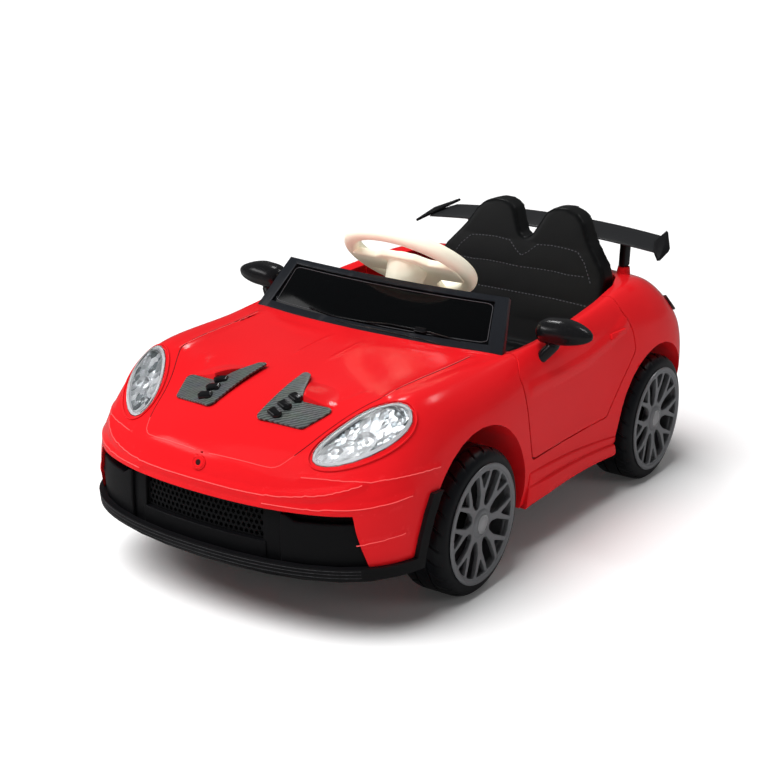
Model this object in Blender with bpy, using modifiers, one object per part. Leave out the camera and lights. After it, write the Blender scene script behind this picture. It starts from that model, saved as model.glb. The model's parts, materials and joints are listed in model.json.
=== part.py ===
"""Kids ride-on car: a battery driven sports car with a moulded body, opening doors and linked front wheels.

Metres, +Z up, the nose points to -Y and the car's left side is +X. The origin is on the ground under
the middle of the car. Stations along the car are measured from the front axle and pass through at().
"""

import math

import bmesh
import bpy
from mathutils import Matrix, Vector

# Fits
FIT = 0.0003
RUNNING_FIT = 0.0008
WALL = 0.004
DOOR_GAP = 0.003

# Axles and wheels
FRONT_AXLE_Y = -0.258
WHEELBASE = 0.620
WHEEL_RADIUS = 0.115
WHEEL_OUTER_X = 0.298
TYRE_WIDTH = 0.082
TYRE_INNER_RADIUS = 0.088
TREAD_BLOCKS = 16
TREAD_DEPTH = 0.004
RIM_RADIUS = 0.0945
RIM_DEPTH = 0.060
RIM_WALL = 0.005
SPOKE_COUNT = 8
SPOKE_FACE_THICKNESS = 0.008
SPOKE_HALF_WIDTH = 0.0045
SPOKE_FORK_RADIUS = 0.048
SPOKE_WINDOW_RADIUS = 0.079
HUB_RADIUS = 0.021
CAP_RADIUS = 0.0155
AXLE_RADIUS = 0.006

# Wheel arches and hull
ARCH_RADIUS = 0.150
REAR_ARCH_RADIUS = 0.140
WELL_INNER_X = 0.150
CREST_HEIGHT = 0.336

# Door, which starts at the front wheel's arch
DOOR_FRONT = ARCH_RADIUS
DOOR_BOTTOM = 0.163
HINGE_X = 0.272
HINGE_STATION = DOOR_FRONT - 0.0115
HINGE_Z = 0.2265
HINGE_SLANT = math.radians(14)
HINGE_HALF_LENGTH = 0.030
HINGE_EAR = 0.004
HINGE_PIN_RADIUS = 0.0025
HINGE_TUBE_RADIUS = 0.0055

# Cockpit
COCKPIT_FRONT = 0.158
COCKPIT_REAR = 0.700
COCKPIT_HALF_WIDTH = 0.237
COCKPIT_REAR_HALF_WIDTH = 0.150
FLOOR_TOP = 0.100
FLOOR_THICKNESS = 0.005
FLOOR_FRONT = -0.200
FLOOR_REAR = 0.780

# Steering
STEER_RADIUS = 0.104
STEER_TUBE = 0.013
COLUMN_TILT = math.radians(55)
COLUMN_LENGTH = 0.406
COLUMN_RADIUS = 0.007
KINGPIN_X = 0.182
KINGPIN_RADIUS = 0.007
KINGPIN_SLEEVE_RADIUS = 0.013
STEER_ARM_LENGTH = 0.040
TIE_PIN_RADIUS = 0.004
TIE_ROD_Z = 0.0745
TIE_ROD_HALF_HEIGHT = 0.004

# Seat and the pedestal under it
SEAT_BASE_HALF_WIDTH = 0.146
SEAT_BASE_FRONT = 0.360
SEAT_BASE_BOTTOM = 0.1863
SEAT_BASE_TOP = 0.216
SEAT_BACK_STATION = 0.577
SEAT_BACK_THICKNESS = 0.043
SEAT_LEAN = 0.30
PEDESTAL_HALF_WIDTH = 0.130
PEDESTAL_FRONT = 0.375
PEDESTAL_REAR = 0.590
BATTERY_SIZE = (0.151, 0.094, 0.065)

# Rear wing
WING_LEADING = (0.239, 0.683, 0.401)
WING_TRAILING = (0.219, 0.760, 0.415)
WINGLET = [
    (0.2210, 0.7690, 0.4241), (0.2253, 0.7662, 0.4213), (0.2508, 0.7211, 0.4024), (0.2533, 0.7106, 0.3999),
    (0.2575, 0.6680, 0.3931), (0.2551, 0.6600, 0.3936), (0.2391, 0.6778, 0.4044), (0.2253, 0.7103, 0.4155),
]
WINGLET_THICKNESS = 0.005
WING_ARCH = 0.012
WING_THICKNESS = 0.008
WING_POST_X = 0.163
WING_POST_STATION = 0.722


def at(station):
    """The world Y of a station measured rearwards from the front axle."""
    return FRONT_AXLE_Y + station


# Rails of the body's half, each from the nose's middle round the corner to the tail's middle.
# A point is (x, station, z).
SILL_RAIL = [
    (0, -0.309, 0.100), (0.06, -0.307, 0.100), (0.12, -0.299, 0.100), (0.175, -0.283, 0.100),
    (0.218, -0.261, 0.100), (0.252, -0.231, 0.100), (0.274, -0.192, 0.098), (0.283, -0.140, 0.096),
    (0.285, -0.070, 0.094), (0.285, 0.000, 0.092), (0.283, 0.070, 0.090), (0.277, 0.140, 0.088),
    (0.272, 0.230, 0.088), (0.271, 0.340, 0.089), (0.273, 0.450, 0.091), (0.281, 0.530, 0.096),
    (0.286, 0.610, 0.104), (0.284, 0.690, 0.112), (0.270, 0.750, 0.118), (0.232, 0.792, 0.122),
    (0.155, 0.812, 0.124), (0.078, 0.820, 0.124), (0, 0.822, 0.124),
]
LOW_RAIL = [
    (0, -0.313, 0.145), (0.06, -0.311, 0.145), (0.12, -0.303, 0.145), (0.175, -0.288, 0.145),
    (0.221, -0.266, 0.145), (0.257, -0.235, 0.145), (0.281, -0.194, 0.145), (0.291, -0.140, 0.145),
    (0.293, -0.070, 0.145), (0.293, 0.000, 0.145), (0.291, 0.070, 0.143), (0.287, 0.140, 0.135),
    (0.284, 0.230, 0.128), (0.283, 0.340, 0.128), (0.285, 0.450, 0.132), (0.291, 0.530, 0.145),
    (0.296, 0.610, 0.155), (0.294, 0.690, 0.160), (0.281, 0.755, 0.165), (0.242, 0.801, 0.168),
    (0.160, 0.822, 0.168), (0.080, 0.830, 0.168), (0, 0.832, 0.168),
]
WAIST_RAIL = [
    (0, -0.314, 0.195), (0.06, -0.312, 0.195), (0.12, -0.304, 0.195), (0.175, -0.288, 0.195),
    (0.221, -0.265, 0.196), (0.257, -0.233, 0.198), (0.280, -0.190, 0.203), (0.290, -0.138, 0.208),
    (0.292, -0.070, 0.212), (0.292, 0.000, 0.215), (0.290, 0.070, 0.212), (0.285, 0.140, 0.205),
    (0.280, 0.230, 0.200), (0.278, 0.340, 0.200), (0.280, 0.450, 0.206), (0.288, 0.530, 0.218),
    (0.295, 0.610, 0.225), (0.293, 0.690, 0.222), (0.280, 0.756, 0.218), (0.242, 0.803, 0.216),
    (0.160, 0.825, 0.216), (0.080, 0.833, 0.216), (0, 0.835, 0.216),
]
SHOULDER_RAIL = [
    (0, -0.306, 0.238), (0.062, -0.304, 0.236), (0.122, -0.295, 0.232), (0.177, -0.278, 0.228),
    (0.221, -0.252, 0.228), (0.254, -0.216, 0.234), (0.273, -0.173, 0.248), (0.282, -0.128, 0.264),
    (0.286, -0.065, 0.276), (0.287, 0.000, 0.281), (0.286, 0.070, 0.280), (0.283, 0.140, 0.277),
    (0.280, 0.230, 0.276), (0.279, 0.340, 0.280), (0.281, 0.450, 0.286), (0.287, 0.530, 0.290),
    (0.290, 0.610, 0.291), (0.286, 0.690, 0.282), (0.272, 0.754, 0.268), (0.236, 0.799, 0.263),
    (0.158, 0.820, 0.262), (0.080, 0.828, 0.262), (0, 0.830, 0.262),
]
UPPER_RAIL = [
    (0, -0.284, 0.266), (0.064, -0.282, 0.264), (0.124, -0.270, 0.258), (0.172, -0.248, 0.255),
    (0.212, -0.214, 0.266), (0.240, -0.178, 0.282), (0.255, -0.148, 0.298), (0.263, -0.110, 0.309),
    (0.267, -0.060, 0.314), (0.268, 0.000, 0.315), (0.269, 0.070, 0.315), (0.271, 0.140, 0.316),
    (0.273, 0.230, 0.318), (0.272, 0.340, 0.323), (0.271, 0.450, 0.329), (0.271, 0.530, 0.334),
    (0.269, 0.610, 0.335), (0.262, 0.690, 0.324), (0.247, 0.748, 0.303), (0.208, 0.788, 0.297),
    (0.140, 0.806, 0.297), (0.070, 0.813, 0.297), (0, 0.815, 0.297),
]
CREST_RAIL = [
    (0, -0.226, 0.292), (0.056, -0.222, 0.291), (0.108, -0.210, 0.289), (0.150, -0.188, 0.296),
    (0.188, -0.164, 0.320), (0.214, -0.142, 0.332), (0.226, -0.118, CREST_HEIGHT),
    (0.231, -0.085, CREST_HEIGHT), (0.232, -0.040, CREST_HEIGHT), (0.233, 0.010, CREST_HEIGHT),
    (0.238, 0.070, 0.335), (0.251, 0.140, 0.336), (0.258, 0.230, 0.339), (0.256, 0.340, 0.346),
    (0.252, 0.450, 0.354), (0.246, 0.530, 0.361), (0.238, 0.610, 0.363), (0.226, 0.680, 0.356),
    (0.204, 0.732, 0.343), (0.163, 0.762, 0.338), (0.110, 0.776, 0.337), (0.055, 0.782, 0.337),
    (0, 0.784, 0.337),
]
INNER_RAIL = [
    (0, -0.110, 0.324), (0.040, -0.108, 0.3235), (0.078, -0.102, 0.322), (0.112, -0.092, 0.321),
    (0.142, -0.076, 0.322), (0.165, -0.055, 0.324), (0.182, -0.030, 0.327), (0.195, 0.000, 0.329),
    (0.206, 0.030, 0.331), (0.216, 0.060, 0.333), (0.227, 0.095, 0.334), (0.244, 0.145, 0.336),
    (0.248, 0.230, 0.338), (0.246, 0.340, 0.345), (0.241, 0.450, 0.353), (0.230, 0.530, 0.359),
    (0.213, 0.610, 0.360), (0.193, 0.672, 0.354), (0.167, 0.710, 0.347), (0.130, 0.728, 0.344),
    (0.088, 0.736, 0.343), (0.045, 0.740, 0.343), (0, 0.741, 0.343),
]
RIM_RAIL = [
    (0, 0.100, 0.338), (0.040, 0.101, 0.338), (0.078, 0.103, 0.338), (0.112, 0.106, 0.3375),
    (0.140, 0.110, 0.337), (0.164, 0.114, 0.337), (0.184, 0.118, 0.337), (0.200, 0.122, 0.337),
    (0.212, 0.127, 0.337), (0.222, 0.133, 0.336), (0.230, 0.141, 0.336), (0.237, 0.155, 0.335),
    (0.238, 0.230, 0.334), (0.235, 0.340, 0.340), (0.227, 0.450, 0.348), (0.212, 0.530, 0.352),
    (0.190, 0.600, 0.352), (0.168, 0.645, 0.349), (0.143, 0.672, 0.346), (0.112, 0.686, 0.344),
    (0.076, 0.693, 0.343), (0.038, 0.697, 0.343), (0, 0.698, 0.343),
]
RAILS = [SILL_RAIL, LOW_RAIL, WAIST_RAIL, SHOULDER_RAIL, UPPER_RAIL, CREST_RAIL, INNER_RAIL, RIM_RAIL]

# The door's outline as (station, z), from the top of its front edge, down and round.
DOOR_OUTLINE = [
    (DOOR_FRONT, 0.420), (DOOR_FRONT, 0.332), (DOOR_FRONT - 0.019, 0.310), (DOOR_FRONT - 0.012, 0.280),
    (DOOR_FRONT + 0.018, DOOR_BOTTOM), (0.437, DOOR_BOTTOM),
    (0.492, 0.222), (0.530, 0.262), (0.522, 0.300), (0.502, 0.336), (0.500, 0.420),
]

# Headlight in plan
LAMP_X = 0.201
LAMP_STATION = -0.188
LAMP_HALF_LENGTH = 0.074
LAMP_HALF_WIDTH = 0.029
LAMP_TAPER = 0.12
LAMP_TURN = math.radians(55)
LENS_PROUD = 0.0025
LENS_WALL = 0.001
REFLECTOR_DEPTH = 0.016

# Front intake, splitter and blades
INTAKE_BOTTOM = 0.112
INTAKE_BOTTOM_HALF = 0.250
INTAKE_TOP = 0.193
INTAKE_TOP_HALF = 0.231
SPLITTER_TOP = 0.116
SPLITTER_BOTTOM = 0.092
SPLITTER_REACH = 0.007
BLADE_FRONT_STATION = -0.128
BLADE_WIDTH = 0.018
BLADE_TOP = 0.207
TAIL_VALANCE_TOP = 0.128
TAIL_VALANCE_FRONT = 0.768

# Hood vents as (x, station), and the small blocks on them
VENT_OUTLINE = [(0.038, -0.102), (0.043, -0.226), (0.108, -0.222), (0.136, -0.161), (0.072, -0.152)]
VENT_BLOCKS = [(0.058, -0.200), (0.060, -0.178), (0.062, -0.156)]
VENT_HEIGHT = 0.004

# Windscreen
SCREEN_BASE_HALF = 0.238
SCREEN_BASE_STATION = 0.104
SCREEN_BASE_BOW = 0.032
SCREEN_BASE_Z = 0.334
SCREEN_TOP_HALF = 0.212
SCREEN_TOP_STATION = 0.180
SCREEN_TOP_BOW = 0.015
SCREEN_TOP_Z = 0.411
SCREEN_DEPTH = 0.010
PANE_REACH = 0.90
PANE_LOW = 0.16
PANE_HIGH = 0.90

# Small parts
MIRROR_CENTRE = (0.297, 0.228, 0.3595)
MIRROR_HALF = (0.048, 0.027, 0.0245)
MIRROR_FOOT = (0.264, 0.214, 0.318)
SWITCH_RADIUS = 0.010
HORN_RADIUS = 0.022
PEDAL_PIN_RADIUS = 0.004
PEDAL_PIN_Z = 0.1105
PEDAL_STATION = 0.1375
PEDAL_X = -0.060
COLLAR_TOP = 0.357
REAR_AXLE_HOLE = 0.009
WELL_SLOT_TOP = 0.170
BEAM_HALF = 0.160
LOWER_EYE = 0.0605
UPPER_EYE = 0.142
EYE_THICKNESS = 0.008
AXLE_END = 0.290
CRANK_LIFT = 0.022
TYRE_INSET = 0.003
WHEEL_INNER_X = WHEEL_OUTER_X - TYRE_INSET - TYRE_WIDTH
RIM_SIDES = 20
ARCH_SIDES = 32

PARTS = "kids_ride_on_car"
CUTTERS = "cutters"


def start_scene():
    """Empties the scene and makes the two collections."""
    for thing in list(bpy.data.objects):
        bpy.data.objects.remove(thing, do_unlink=True)
    for name in (PARTS, CUTTERS):
        collection = bpy.data.collections.new(name)
        bpy.context.scene.collection.children.link(collection)


def make_material(name, colour, roughness, metallic=0.0):
    material = bpy.data.materials.new(name)
    material.use_nodes = True
    shader = material.node_tree.nodes["Principled BSDF"]
    shader.inputs["Base Color"].default_value = (*colour, 1.0)
    shader.inputs["Roughness"].default_value = roughness
    shader.inputs["Metallic"].default_value = metallic
    return material


def place(thing, collection_name):
    for old in list(thing.users_collection):
        old.objects.unlink(thing)
    bpy.data.collections[collection_name].objects.link(thing)
    is_cutter = collection_name == CUTTERS
    thing.hide_render = is_cutter
    thing.display_type = "WIRE" if is_cutter else "TEXTURED"
    return thing


def as_part(thing, name, material, smooth_angle=None):
    """Names a finished piece, gives it its material and puts it in the car's collection."""
    thing.name = name
    thing.data.name = name
    thing.data.materials.clear()
    thing.data.materials.append(material)
    if smooth_angle is not None:
        thing.data.shade_smooth()
        thing.data.set_sharp_from_angle(angle=math.radians(smooth_angle))
    return place(thing, PARTS)


def from_bmesh(name, bm):
    bmesh.ops.recalc_face_normals(bm, faces=bm.faces)
    if bm.calc_volume(signed=True) < 0:
        bmesh.ops.reverse_faces(bm, faces=bm.faces)
    mesh = bpy.data.meshes.new(name)
    bm.to_mesh(mesh)
    bm.free()
    thing = bpy.data.objects.new(name, mesh)
    return place(thing, CUTTERS)


def baked(thing):
    """Replaces the object's mesh by its evaluated one and drops its modifiers."""
    depsgraph = bpy.context.evaluated_depsgraph_get()
    depsgraph.update()
    mesh = bpy.data.meshes.new_from_object(thing.evaluated_get(depsgraph))
    thing.modifiers.clear()
    thing.data = mesh
    return thing


def combine(target, other, operation):
    step = target.modifiers.new(operation.lower(), "BOOLEAN")
    step.operation = operation
    step.solver = "EXACT"
    step.object = other
    baked(target)
    bpy.data.objects.remove(other, do_unlink=True)
    return target


def cut(target, *cutters):
    for cutter in cutters:
        combine(target, cutter, "DIFFERENCE")
    return target


def join(target, *others):
    for other in others:
        combine(target, other, "UNION")
    return target


def common(target, other):
    return combine(target, other, "INTERSECT")


def box(low, high, bevel=0.0):
    """A box between two corners, with its edges bevelled."""
    bm = bmesh.new()
    bmesh.ops.create_cube(bm, size=1.0)
    low = Vector(low)
    high = Vector(high)
    for vertex in bm.verts:
        vertex.co = Vector(
            low[i] + (vertex.co[i] + 0.5) * (high[i] - low[i]) for i in range(3)
        )
    if bevel:
        bmesh.ops.bevel(bm, geom=bm.edges, offset=bevel, segments=1, affect="EDGES")
    return from_bmesh("box", bm)


def cylinder(radius, start, end, sides=24, end_radius=None):
    """A cylinder, or a cone, from one point to another."""
    start = Vector(start)
    end = Vector(end)
    run = end - start
    bm = bmesh.new()
    bmesh.ops.create_cone(
        bm, cap_ends=True, segments=sides, radius1=radius,
        radius2=radius if end_radius is None else end_radius, depth=run.length,
    )
    turn = run.to_track_quat("Z", "Y").to_matrix().to_4x4()
    bm.transform(Matrix.Translation((start + end) / 2) @ turn)
    return from_bmesh("cylinder", bm)


def prism(outlines, low, high, axis):
    """Flat outlines, the first one the rim and the others holes, extruded along an axis from low to high."""
    curve = bpy.data.curves.new("outline", "CURVE")
    curve.dimensions = "2D"
    curve.fill_mode = "BOTH"
    curve.extrude = (high - low) / 2
    for outline in outlines:
        spline = curve.splines.new("POLY")
        spline.points.add(len(outline) - 1)
        for point, (a, b) in zip(spline.points, outline):
            point.co = (a, b, 0, 1)
        spline.use_cyclic_u = True
    thing = bpy.data.objects.new("outline", curve)
    bpy.data.collections[CUTTERS].objects.link(thing)
    middle = (low + high) / 2
    frames = {
        "X": Matrix(((0, 0, 1, middle), (1, 0, 0, 0), (0, 1, 0, 0), (0, 0, 0, 1))),
        "Y": Matrix(((1, 0, 0, 0), (0, 0, -1, middle), (0, 1, 0, 0), (0, 0, 0, 1))),
        "Z": Matrix.Translation((0, 0, middle)),
    }
    bpy.context.view_layer.update()
    mesh = bpy.data.meshes.new_from_object(thing.evaluated_get(bpy.context.evaluated_depsgraph_get()))
    bpy.data.objects.remove(thing, do_unlink=True)
    bm = bmesh.new()
    bm.from_mesh(mesh)
    bmesh.ops.remove_doubles(bm, verts=bm.verts, dist=1e-6)
    bm.transform(frames[axis])
    return from_bmesh("prism", bm)


def turned(profile, centre, axis, steps=32):
    """A closed profile of (radius, height) points turned round an axis through a centre."""
    bm = bmesh.new()
    rings = []
    frames = {
        "X": Matrix(((0, 0, 1), (1, 0, 0), (0, 1, 0))),
        "Z": Matrix.Identity(3),
    }
    frame = frames[axis]
    for step in range(steps):
        angle = 2 * math.pi * step / steps
        ring = []
        for radius, height in profile:
            local = Vector((radius * math.cos(angle), radius * math.sin(angle), height))
            ring.append(bm.verts.new(Vector(centre) + frame @ local))
        rings.append(ring)
    count = len(profile)
    for step in range(steps):
        here = rings[step]
        there = rings[(step + 1) % steps]
        for i in range(count):
            j = (i + 1) % count
            bm.faces.new((here[i], there[i], there[j], here[j]))
    bmesh.ops.remove_doubles(bm, verts=bm.verts, dist=1e-6)
    return from_bmesh("turned", bm)


def mirrored(thing):
    """A copy of the object on the car's other side."""
    mesh = thing.data.copy()
    mesh.transform(Matrix.Scale(-1, 4, Vector((1, 0, 0))))
    mesh.flip_normals()
    copy = bpy.data.objects.new(thing.name, mesh)
    return place(copy, CUTTERS)


def hull(offset, drop=0.0, fine=True):
    """The body's closed outer form, moved along its normals by the offset, its bottom lowered by drop.

    The coarse one keeps only the rails' own points, and serves for hidden surfaces.
    """
    bm = bmesh.new()
    rows = []
    for rail in RAILS:
        half = [Vector((x, at(station), z)) for x, station, z in rail]
        other = [Vector((-p.x, p.y, p.z)) for p in reversed(half[1:-1])]
        rows.append([bm.verts.new(p) for p in half + other])
    count = len(rows[0])
    faces = []
    for low in range(len(rows) - 1):
        for i in range(count):
            j = (i + 1) % count
            face = (low * count + i, low * count + j, (low + 1) * count + j, (low + 1) * count + i)
            faces.append(face if i < count // 2 else face[1:] + face[:1])
    bm.verts.ensure_lookup_table()
    for face in faces:
        bm.faces.new([bm.verts[k] for k in face])
    thing = from_bmesh("hull", bm)
    smooth = thing.modifiers.new("smooth", "SUBSURF")
    smooth.levels = 1
    smooth.render_levels = 1
    baked(thing)
    bm = bmesh.new()
    bm.from_mesh(thing.data)
    bpy.data.objects.remove(thing, do_unlink=True)
    bmesh.ops.recalc_face_normals(bm, faces=bm.faces)
    bm.normal_update()
    middle = Vector((0, at(WHEELBASE / 2), 0.2))
    side = next(iter(bm.verts))
    sense = 1 if side.normal.dot(side.co - middle) > 0 else -1
    moved = [vertex.co + vertex.normal * offset * sense for vertex in bm.verts]
    if fine:
        for vertex, spot in zip(bm.verts, moved):
            vertex.co = spot
    else:
        bm.free()
        bm = bmesh.new()
        corners = [bm.verts.new(spot) for spot in moved[:len(rows) * count]]
        for face in faces:
            bm.faces.new([corners[k] for k in face])
    edges = [edge for edge in bm.edges if edge.is_boundary]
    lowest = [e for e in edges if e.verts[0].co.z < 0.2]
    highest = [e for e in edges if e.verts[0].co.z >= 0.2]
    for vertex in {v for e in lowest for v in e.verts}:
        vertex.co.z -= drop
    for loop in (lowest, highest):
        bmesh.ops.triangle_fill(bm, use_beauty=False, use_dissolve=False, edges=loop)
    bmesh.ops.triangulate(bm, faces=bm.faces, quad_method="FIXED")
    return from_bmesh("hull", bm)


def inner_hull(offset):
    return hull(offset, 0.05, False)


def both_sides(maker):
    """Left and right copies of a cutter or block made for the left side."""
    left = maker()
    return left, mirrored(left)


def rounded(points, radius, steps=3):
    """The outline with each corner replaced by an arc."""
    result = []
    count = len(points)
    for i in range(count):
        before = Vector(points[i - 1])
        corner = Vector(points[i])
        after = Vector(points[(i + 1) % count])
        to_before = (before - corner).normalized()
        to_after = (after - corner).normalized()
        half = to_before.angle(to_after) / 2
        reach = min(radius / math.tan(half), (before - corner).length / 2, (after - corner).length / 2)
        true_radius = reach * math.tan(half)
        centre = corner + (to_before + to_after).normalized() * (true_radius / math.sin(half))
        start = corner + to_before * reach - centre
        turn = start.angle_signed(corner + to_after * reach - centre)
        for k in range(steps + 1):
            spot = centre + Matrix.Rotation(-turn * k / steps, 2) @ start
            result.append((spot.x, spot.y))
    return result


def cockpit_outline(inset=0.0):
    """The cockpit opening in plan, as (x, y)."""
    half = COCKPIT_HALF_WIDTH - inset
    rear_half = COCKPIT_REAR_HALF_WIDTH - inset
    front = at(COCKPIT_FRONT) + inset
    rear = at(COCKPIT_REAR) - inset
    side = [
        (half, front), (half, at(0.34)), (half - 0.010, at(0.47)), (half - 0.028, at(0.58)),
        (half - 0.060, at(0.66)), (rear_half, rear),
    ]
    outline = side + [(-x, y) for x, y in reversed(side)]
    return rounded(outline, 0.030)


def grown(outline, amount):
    """The outline with each corner moved outwards, or inwards for a negative amount."""
    count = len(outline)
    area = sum(
        outline[i - 1][0] * outline[i][1] - outline[i][0] * outline[i - 1][1] for i in range(count)
    )
    sense = 1 if area > 0 else -1
    result = []
    for i in range(count):
        corner = Vector(outline[i])
        along_in = (corner - Vector(outline[i - 1])).normalized()
        along_out = (Vector(outline[(i + 1) % count]) - corner).normalized()
        normal_in = Vector((along_in.y, -along_in.x)) * sense
        normal_out = Vector((along_out.y, -along_out.x)) * sense
        bisector = (normal_in + normal_out).normalized()
        spot = corner + bisector * (amount / max(0.3, bisector.dot(normal_in)))
        result.append((spot.x, spot.y))
    return result


def moved_to(thing, matrix):
    thing.data.transform(matrix)
    return thing


def door_prism(gap):
    """The door's outline as a block through the car's left side, made smaller by the gap."""
    outline = grown([(at(station), z) for station, z in DOOR_OUTLINE], -gap)
    return prism([rounded(outline, 0.012, 2)], 0.225, 0.330, "X")


def arch_block(radius, station, inner_x):
    return cylinder(
        radius, (inner_x, at(station), WHEEL_RADIUS), (0.400, at(station), WHEEL_RADIUS), ARCH_SIDES
    )


def skin(outer, inner):
    """A layer of the body's form between two offsets."""
    outside = hull(outer, 0.02) if outer > -WALL else inner_hull(outer)
    inside = hull(inner, 0.06) if inner > -WALL else inner_hull(inner)
    return cut(outside, inside)


def lamp_outline(growth):
    """The headlight in plan: an egg with its blunt end at the rear, as (x, y)."""
    points = []
    for step in range(20):
        angle = 2 * math.pi * step / 20
        along = (LAMP_HALF_LENGTH + growth) * math.cos(angle)
        width = LAMP_HALF_WIDTH * (1 + LAMP_TAPER * math.cos(angle)) + growth
        across = width * math.sin(angle)
        x = LAMP_X + along * math.cos(LAMP_TURN) - across * math.sin(LAMP_TURN)
        y = at(LAMP_STATION) + along * math.sin(LAMP_TURN) + across * math.cos(LAMP_TURN)
        points.append((x, y))
    return points


def lamp_block(growth):
    return prism([lamp_outline(growth)], 0.15, 0.45, "Z")


def opening_outline(growth):
    """The front intake's outline seen from the front, as (x, z)."""
    corners = [
        (-INTAKE_BOTTOM_HALF, INTAKE_BOTTOM), (INTAKE_BOTTOM_HALF, INTAKE_BOTTOM),
        (INTAKE_TOP_HALF, INTAKE_TOP), (-INTAKE_TOP_HALF, INTAKE_TOP),
    ]
    return grown(corners, growth)


def opening_block(growth):
    return prism([opening_outline(growth)], at(-0.36), at(-0.20), "Y")


def vent_outline():
    return rounded([(x, at(station)) for x, station in VENT_OUTLINE], 0.006, 2)


def build_body(red):
    """The one-piece moulded body with its four wheel wells."""
    body = hull(0.0)
    cavity = inner_hull(-WALL)
    for station, radius in ((0.0, ARCH_RADIUS), (WHEELBASE, REAR_ARCH_RADIUS)):
        cut(cavity, *both_sides(lambda: arch_block(radius + WALL, station, WELL_INNER_X)))
    cut(body, cavity)
    for station, radius in ((0.0, ARCH_RADIUS), (WHEELBASE, REAR_ARCH_RADIUS)):
        cut(body, *both_sides(lambda: arch_block(radius, station, WELL_INNER_X + WALL)))
    cut(body, prism([cockpit_outline()], 0.28, 0.50, "Z"))
    cut(body, *both_sides(lambda: door_prism(0.0)))
    cut(body, *both_sides(lambda: lamp_block(FIT)))
    cut(body, opening_block(0.0))
    cut(body, box((-0.4, at(-0.40), 0.0), (0.4, at(-0.10), SPLITTER_TOP + FIT)))
    cut(body, box((-0.4, at(TAIL_VALANCE_FRONT), 0.0), (0.4, at(0.90), TAIL_VALANCE_TOP + FIT)))
    slot = box(
        (-WELL_INNER_X - 0.02, at(-0.035), 0.0), (WELL_INNER_X + 0.02, at(0.062), WELL_SLOT_TOP)
    )
    cut(body, slot)
    cut(body, cylinder(REAR_AXLE_HOLE, (-0.20, at(WHEELBASE), WHEEL_RADIUS), (0.20, at(WHEELBASE), WHEEL_RADIUS)))
    boss = cylinder(0.0115, (0, at(-0.3105), 0.2345), (0, at(-0.298), 0.243), 20)
    join(body, boss)
    cut(body, cylinder(0.0035, (0, at(-0.330), 0.2235), (0, at(-0.280), 0.2535), 16))
    for side in (-1, 1):
        x = side * WING_POST_X
        collar = cylinder(0.013, (x, at(WING_POST_STATION), 0.343), (x, at(WING_POST_STATION), COLLAR_TOP), 20, 0.011)
        join(body, collar)
    return as_part(body, "body_shell", red, 35)


def build_front_trim(black):
    """The grille panel behind the intake, and the splitter with its blades at the wheel arches."""
    panel = skin(-WALL - 0.0005, -WALL - 0.004)
    common(panel, opening_block(0.012))
    cut(panel, box((-0.4, at(-0.40), 0.0), (0.4, at(-0.10), SPLITTER_TOP + FIT)))
    cut(panel, *[
        box((x - 0.016, at(-0.36), z - 0.005), (x + 0.016, at(-0.24), z + 0.005))
        for z in (0.150, 0.165)
        for x in [(i - 1.5) * 0.040 for i in range(4)]
    ])
    as_part(panel, "front_grille", black, 35)

    lip = cut(hull(SPLITTER_REACH, 0.03), inner_hull(-WALL))
    common(lip, box((-0.4, at(-0.40), SPLITTER_BOTTOM), (0.4, at(BLADE_FRONT_STATION), SPLITTER_TOP)))
    blades = cut(hull(SPLITTER_REACH - 0.001, 0.03), hull(FIT, 0.06))
    common(blades, cylinder(
        ARCH_RADIUS + BLADE_WIDTH, (-0.4, at(0), WHEEL_RADIUS), (0.4, at(0), WHEEL_RADIUS), ARCH_SIDES
    ))
    cut(blades, cylinder(ARCH_RADIUS, (-0.45, at(0), WHEEL_RADIUS), (0.45, at(0), WHEEL_RADIUS), ARCH_SIDES))
    common(blades, box((-0.4, at(-0.30), SPLITTER_BOTTOM + 0.002), (0.4, at(-0.05), BLADE_TOP)))
    join(lip, blades)
    cut(lip, cylinder(ARCH_RADIUS, (-0.45, at(0), WHEEL_RADIUS), (0.45, at(0), WHEEL_RADIUS), ARCH_SIDES))
    as_part(lip, "front_splitter", black, 35)


def build_tail(black, smoke):
    valance = cut(hull(0.004, 0.04), inner_hull(-WALL))
    common(valance, box((-0.4, at(TAIL_VALANCE_FRONT + FIT), 0.098), (0.4, at(0.90), TAIL_VALANCE_TOP)))
    cut(valance, *both_sides(lambda: arch_block(REAR_ARCH_RADIUS, WHEELBASE, WELL_INNER_X)))
    as_part(valance, "rear_valance", black, 35)
    for side, name in ((1, "tail_light_left"), (-1, "tail_light_right")):
        lamp = skin(0.005, FIT)
        spot = Matrix.Translation((side * 0.252, at(0.738), 0.300))
        turn = Matrix.Rotation(side * math.radians(-35), 4, "Z") @ Matrix.Diagonal((0.018, 0.040, 0.014, 1))
        bm = bmesh.new()
        bmesh.ops.create_uvsphere(bm, u_segments=14, v_segments=8, radius=1.0)
        bm.transform(spot @ turn)
        common(lamp, from_bmesh("ball", bm))
        as_part(lamp, name, smoke, 35)


def build_headlights(chrome, clear):
    for side, end in ((1, "left"), (-1, "right")):
        lens = common(skin(LENS_PROUD, -LENS_WALL), lamp_block(0.0) if side > 0 else mirrored(lamp_block(0.0)))
        as_part(lens, f"headlight_lens_{end}", clear, 35)
        bowl = common(
            skin(-LENS_WALL - FIT, -LENS_WALL - REFLECTOR_DEPTH),
            lamp_block(0.0) if side > 0 else mirrored(lamp_block(0.0)),
        )
        as_part(bowl, f"headlight_reflector_{end}", chrome, 35)


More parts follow.
